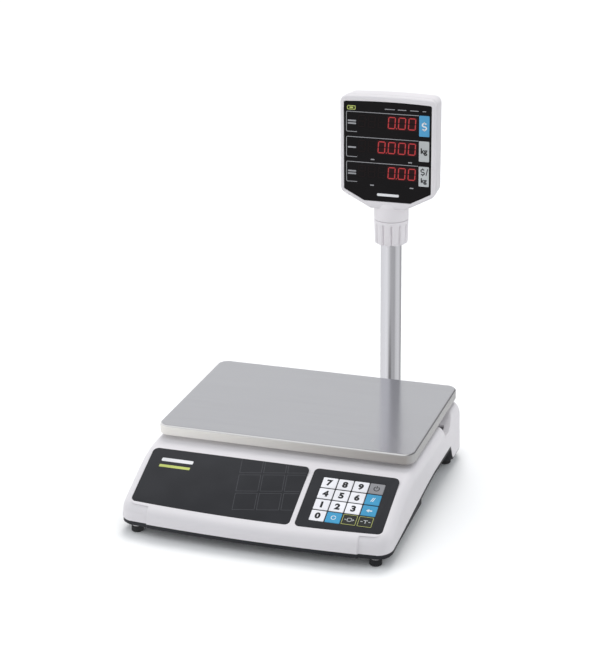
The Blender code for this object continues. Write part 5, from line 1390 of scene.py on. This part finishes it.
dome = world_math("MULTIPLY", world_math("MULTIPLY", world_lobe(0.50, -0.866, 0.05, 0.85, 1.03, 0.78), world_lobe(0.93, 0.37, 0.35, 0.95, 1.0, 1.28)), 0.885)
path = world_node("ShaderNodeLightPath")
seen = world_node("ShaderNodeMix", data_type="FLOAT")
tree.links.new(path.outputs["Is Glossy Ray"], seen.inputs[0])
tree.links.new(dome, seen.inputs[2])
tree.links.new(world_math("MULTIPLY", height.outputs["Result"], sideways.outputs["Result"]), seen.inputs[3])
background.inputs["Color"].default_value = (0.948, 0.974, 1.0, 1.0)
tree.links.new(seen.outputs[0], background.inputs["Strength"])


def sun(name, direction_to, power, angle, colour=(1.0, 1.0, 1.0)):
    data = bpy.data.lights.new(name, "SUN")
    data.energy = power
    data.angle = math.radians(angle)
    data.color = colour
    obj = bpy.data.objects.new(name, data)
    obj.rotation_mode = "QUATERNION"
    obj.rotation_quaternion = Vector(direction_to).to_track_quat("Z", "Y")
    bpy.context.scene.collection.objects.link(obj)
    return obj


def panel(name, place, aim, size, power, colour=(1.0, 1.0, 1.0)):
    data = bpy.data.lights.new(name, "AREA")
    data.shape, data.size, data.energy, data.color = "SQUARE", size, power, colour
    obj = bpy.data.objects.new(name, data)
    obj.location = place
    obj.rotation_mode = "QUATERNION"
    obj.rotation_quaternion = (Vector(place) - Vector(aim)).to_track_quat("Z", "Y")
    bpy.context.scene.collection.objects.link(obj)
    return obj


def spot(name, place, aim, power, cone, radius):
    data = bpy.data.lights.new(name, "SPOT")
    data.energy, data.spot_size, data.spot_blend, data.shadow_soft_size = power, math.radians(cone), 1.0, radius
    obj = bpy.data.objects.new(name, data)
    obj.location = place
    obj.rotation_mode = "QUATERNION"
    obj.rotation_quaternion = (Vector(place) - Vector(aim)).to_track_quat("Z", "Y")
    bpy.context.scene.collection.objects.link(obj)
    return obj


for light in (
    spot("head_fill", (0.10, -0.85, 0.50), (POLE_X / 1000, POLE_Y / 1000, 0.35), 5.0, 22.0, 0.12),
    sun("key_light", (-0.12, 0.66, 1.0), 1.25, 30.0, (1.0, 0.972, 0.942)),
    panel("left_panel", (-1.15, -0.75, 1.05), (0.0, -0.05, 0.08), 1.3, 2.6, (1.0, 0.992, 0.985)),
):
    light.visible_glossy = False

camera_data = bpy.data.cameras.new("camera")
camera = bpy.data.objects.new("camera", camera_data)
bpy.context.scene.collection.objects.link(camera)
AZ, EL, ROLL = math.radians(18.53), math.radians(20.50), math.radians(-0.74)
back = Vector((math.sin(AZ) * math.cos(EL), -math.cos(AZ) * math.cos(EL), math.sin(EL)))
right = Vector((math.cos(AZ), math.sin(AZ), 0.0))
up = back.cross(right)
right, up = right * math.cos(ROLL) + up * math.sin(ROLL), -right * math.sin(ROLL) + up * math.cos(ROLL)
camera.matrix_world = Matrix(((right.x, up.x, back.x, 0.61747), (right.y, up.y, back.y, -1.85043), (right.z, up.z, back.z, 0.92681), (0, 0, 0, 1)))
camera_data.sensor_width = 36.0
camera_data.sensor_fit = "AUTO"
camera_data.lens = 36.0 * 1814.0 / 649.0
camera_data.clip_start, camera_data.clip_end = 0.02, 60.0
bpy.context.scene.camera = camera
bpy.context.scene.view_settings.view_transform = "Standard"
bpy.context.scene.view_settings.look = "None"
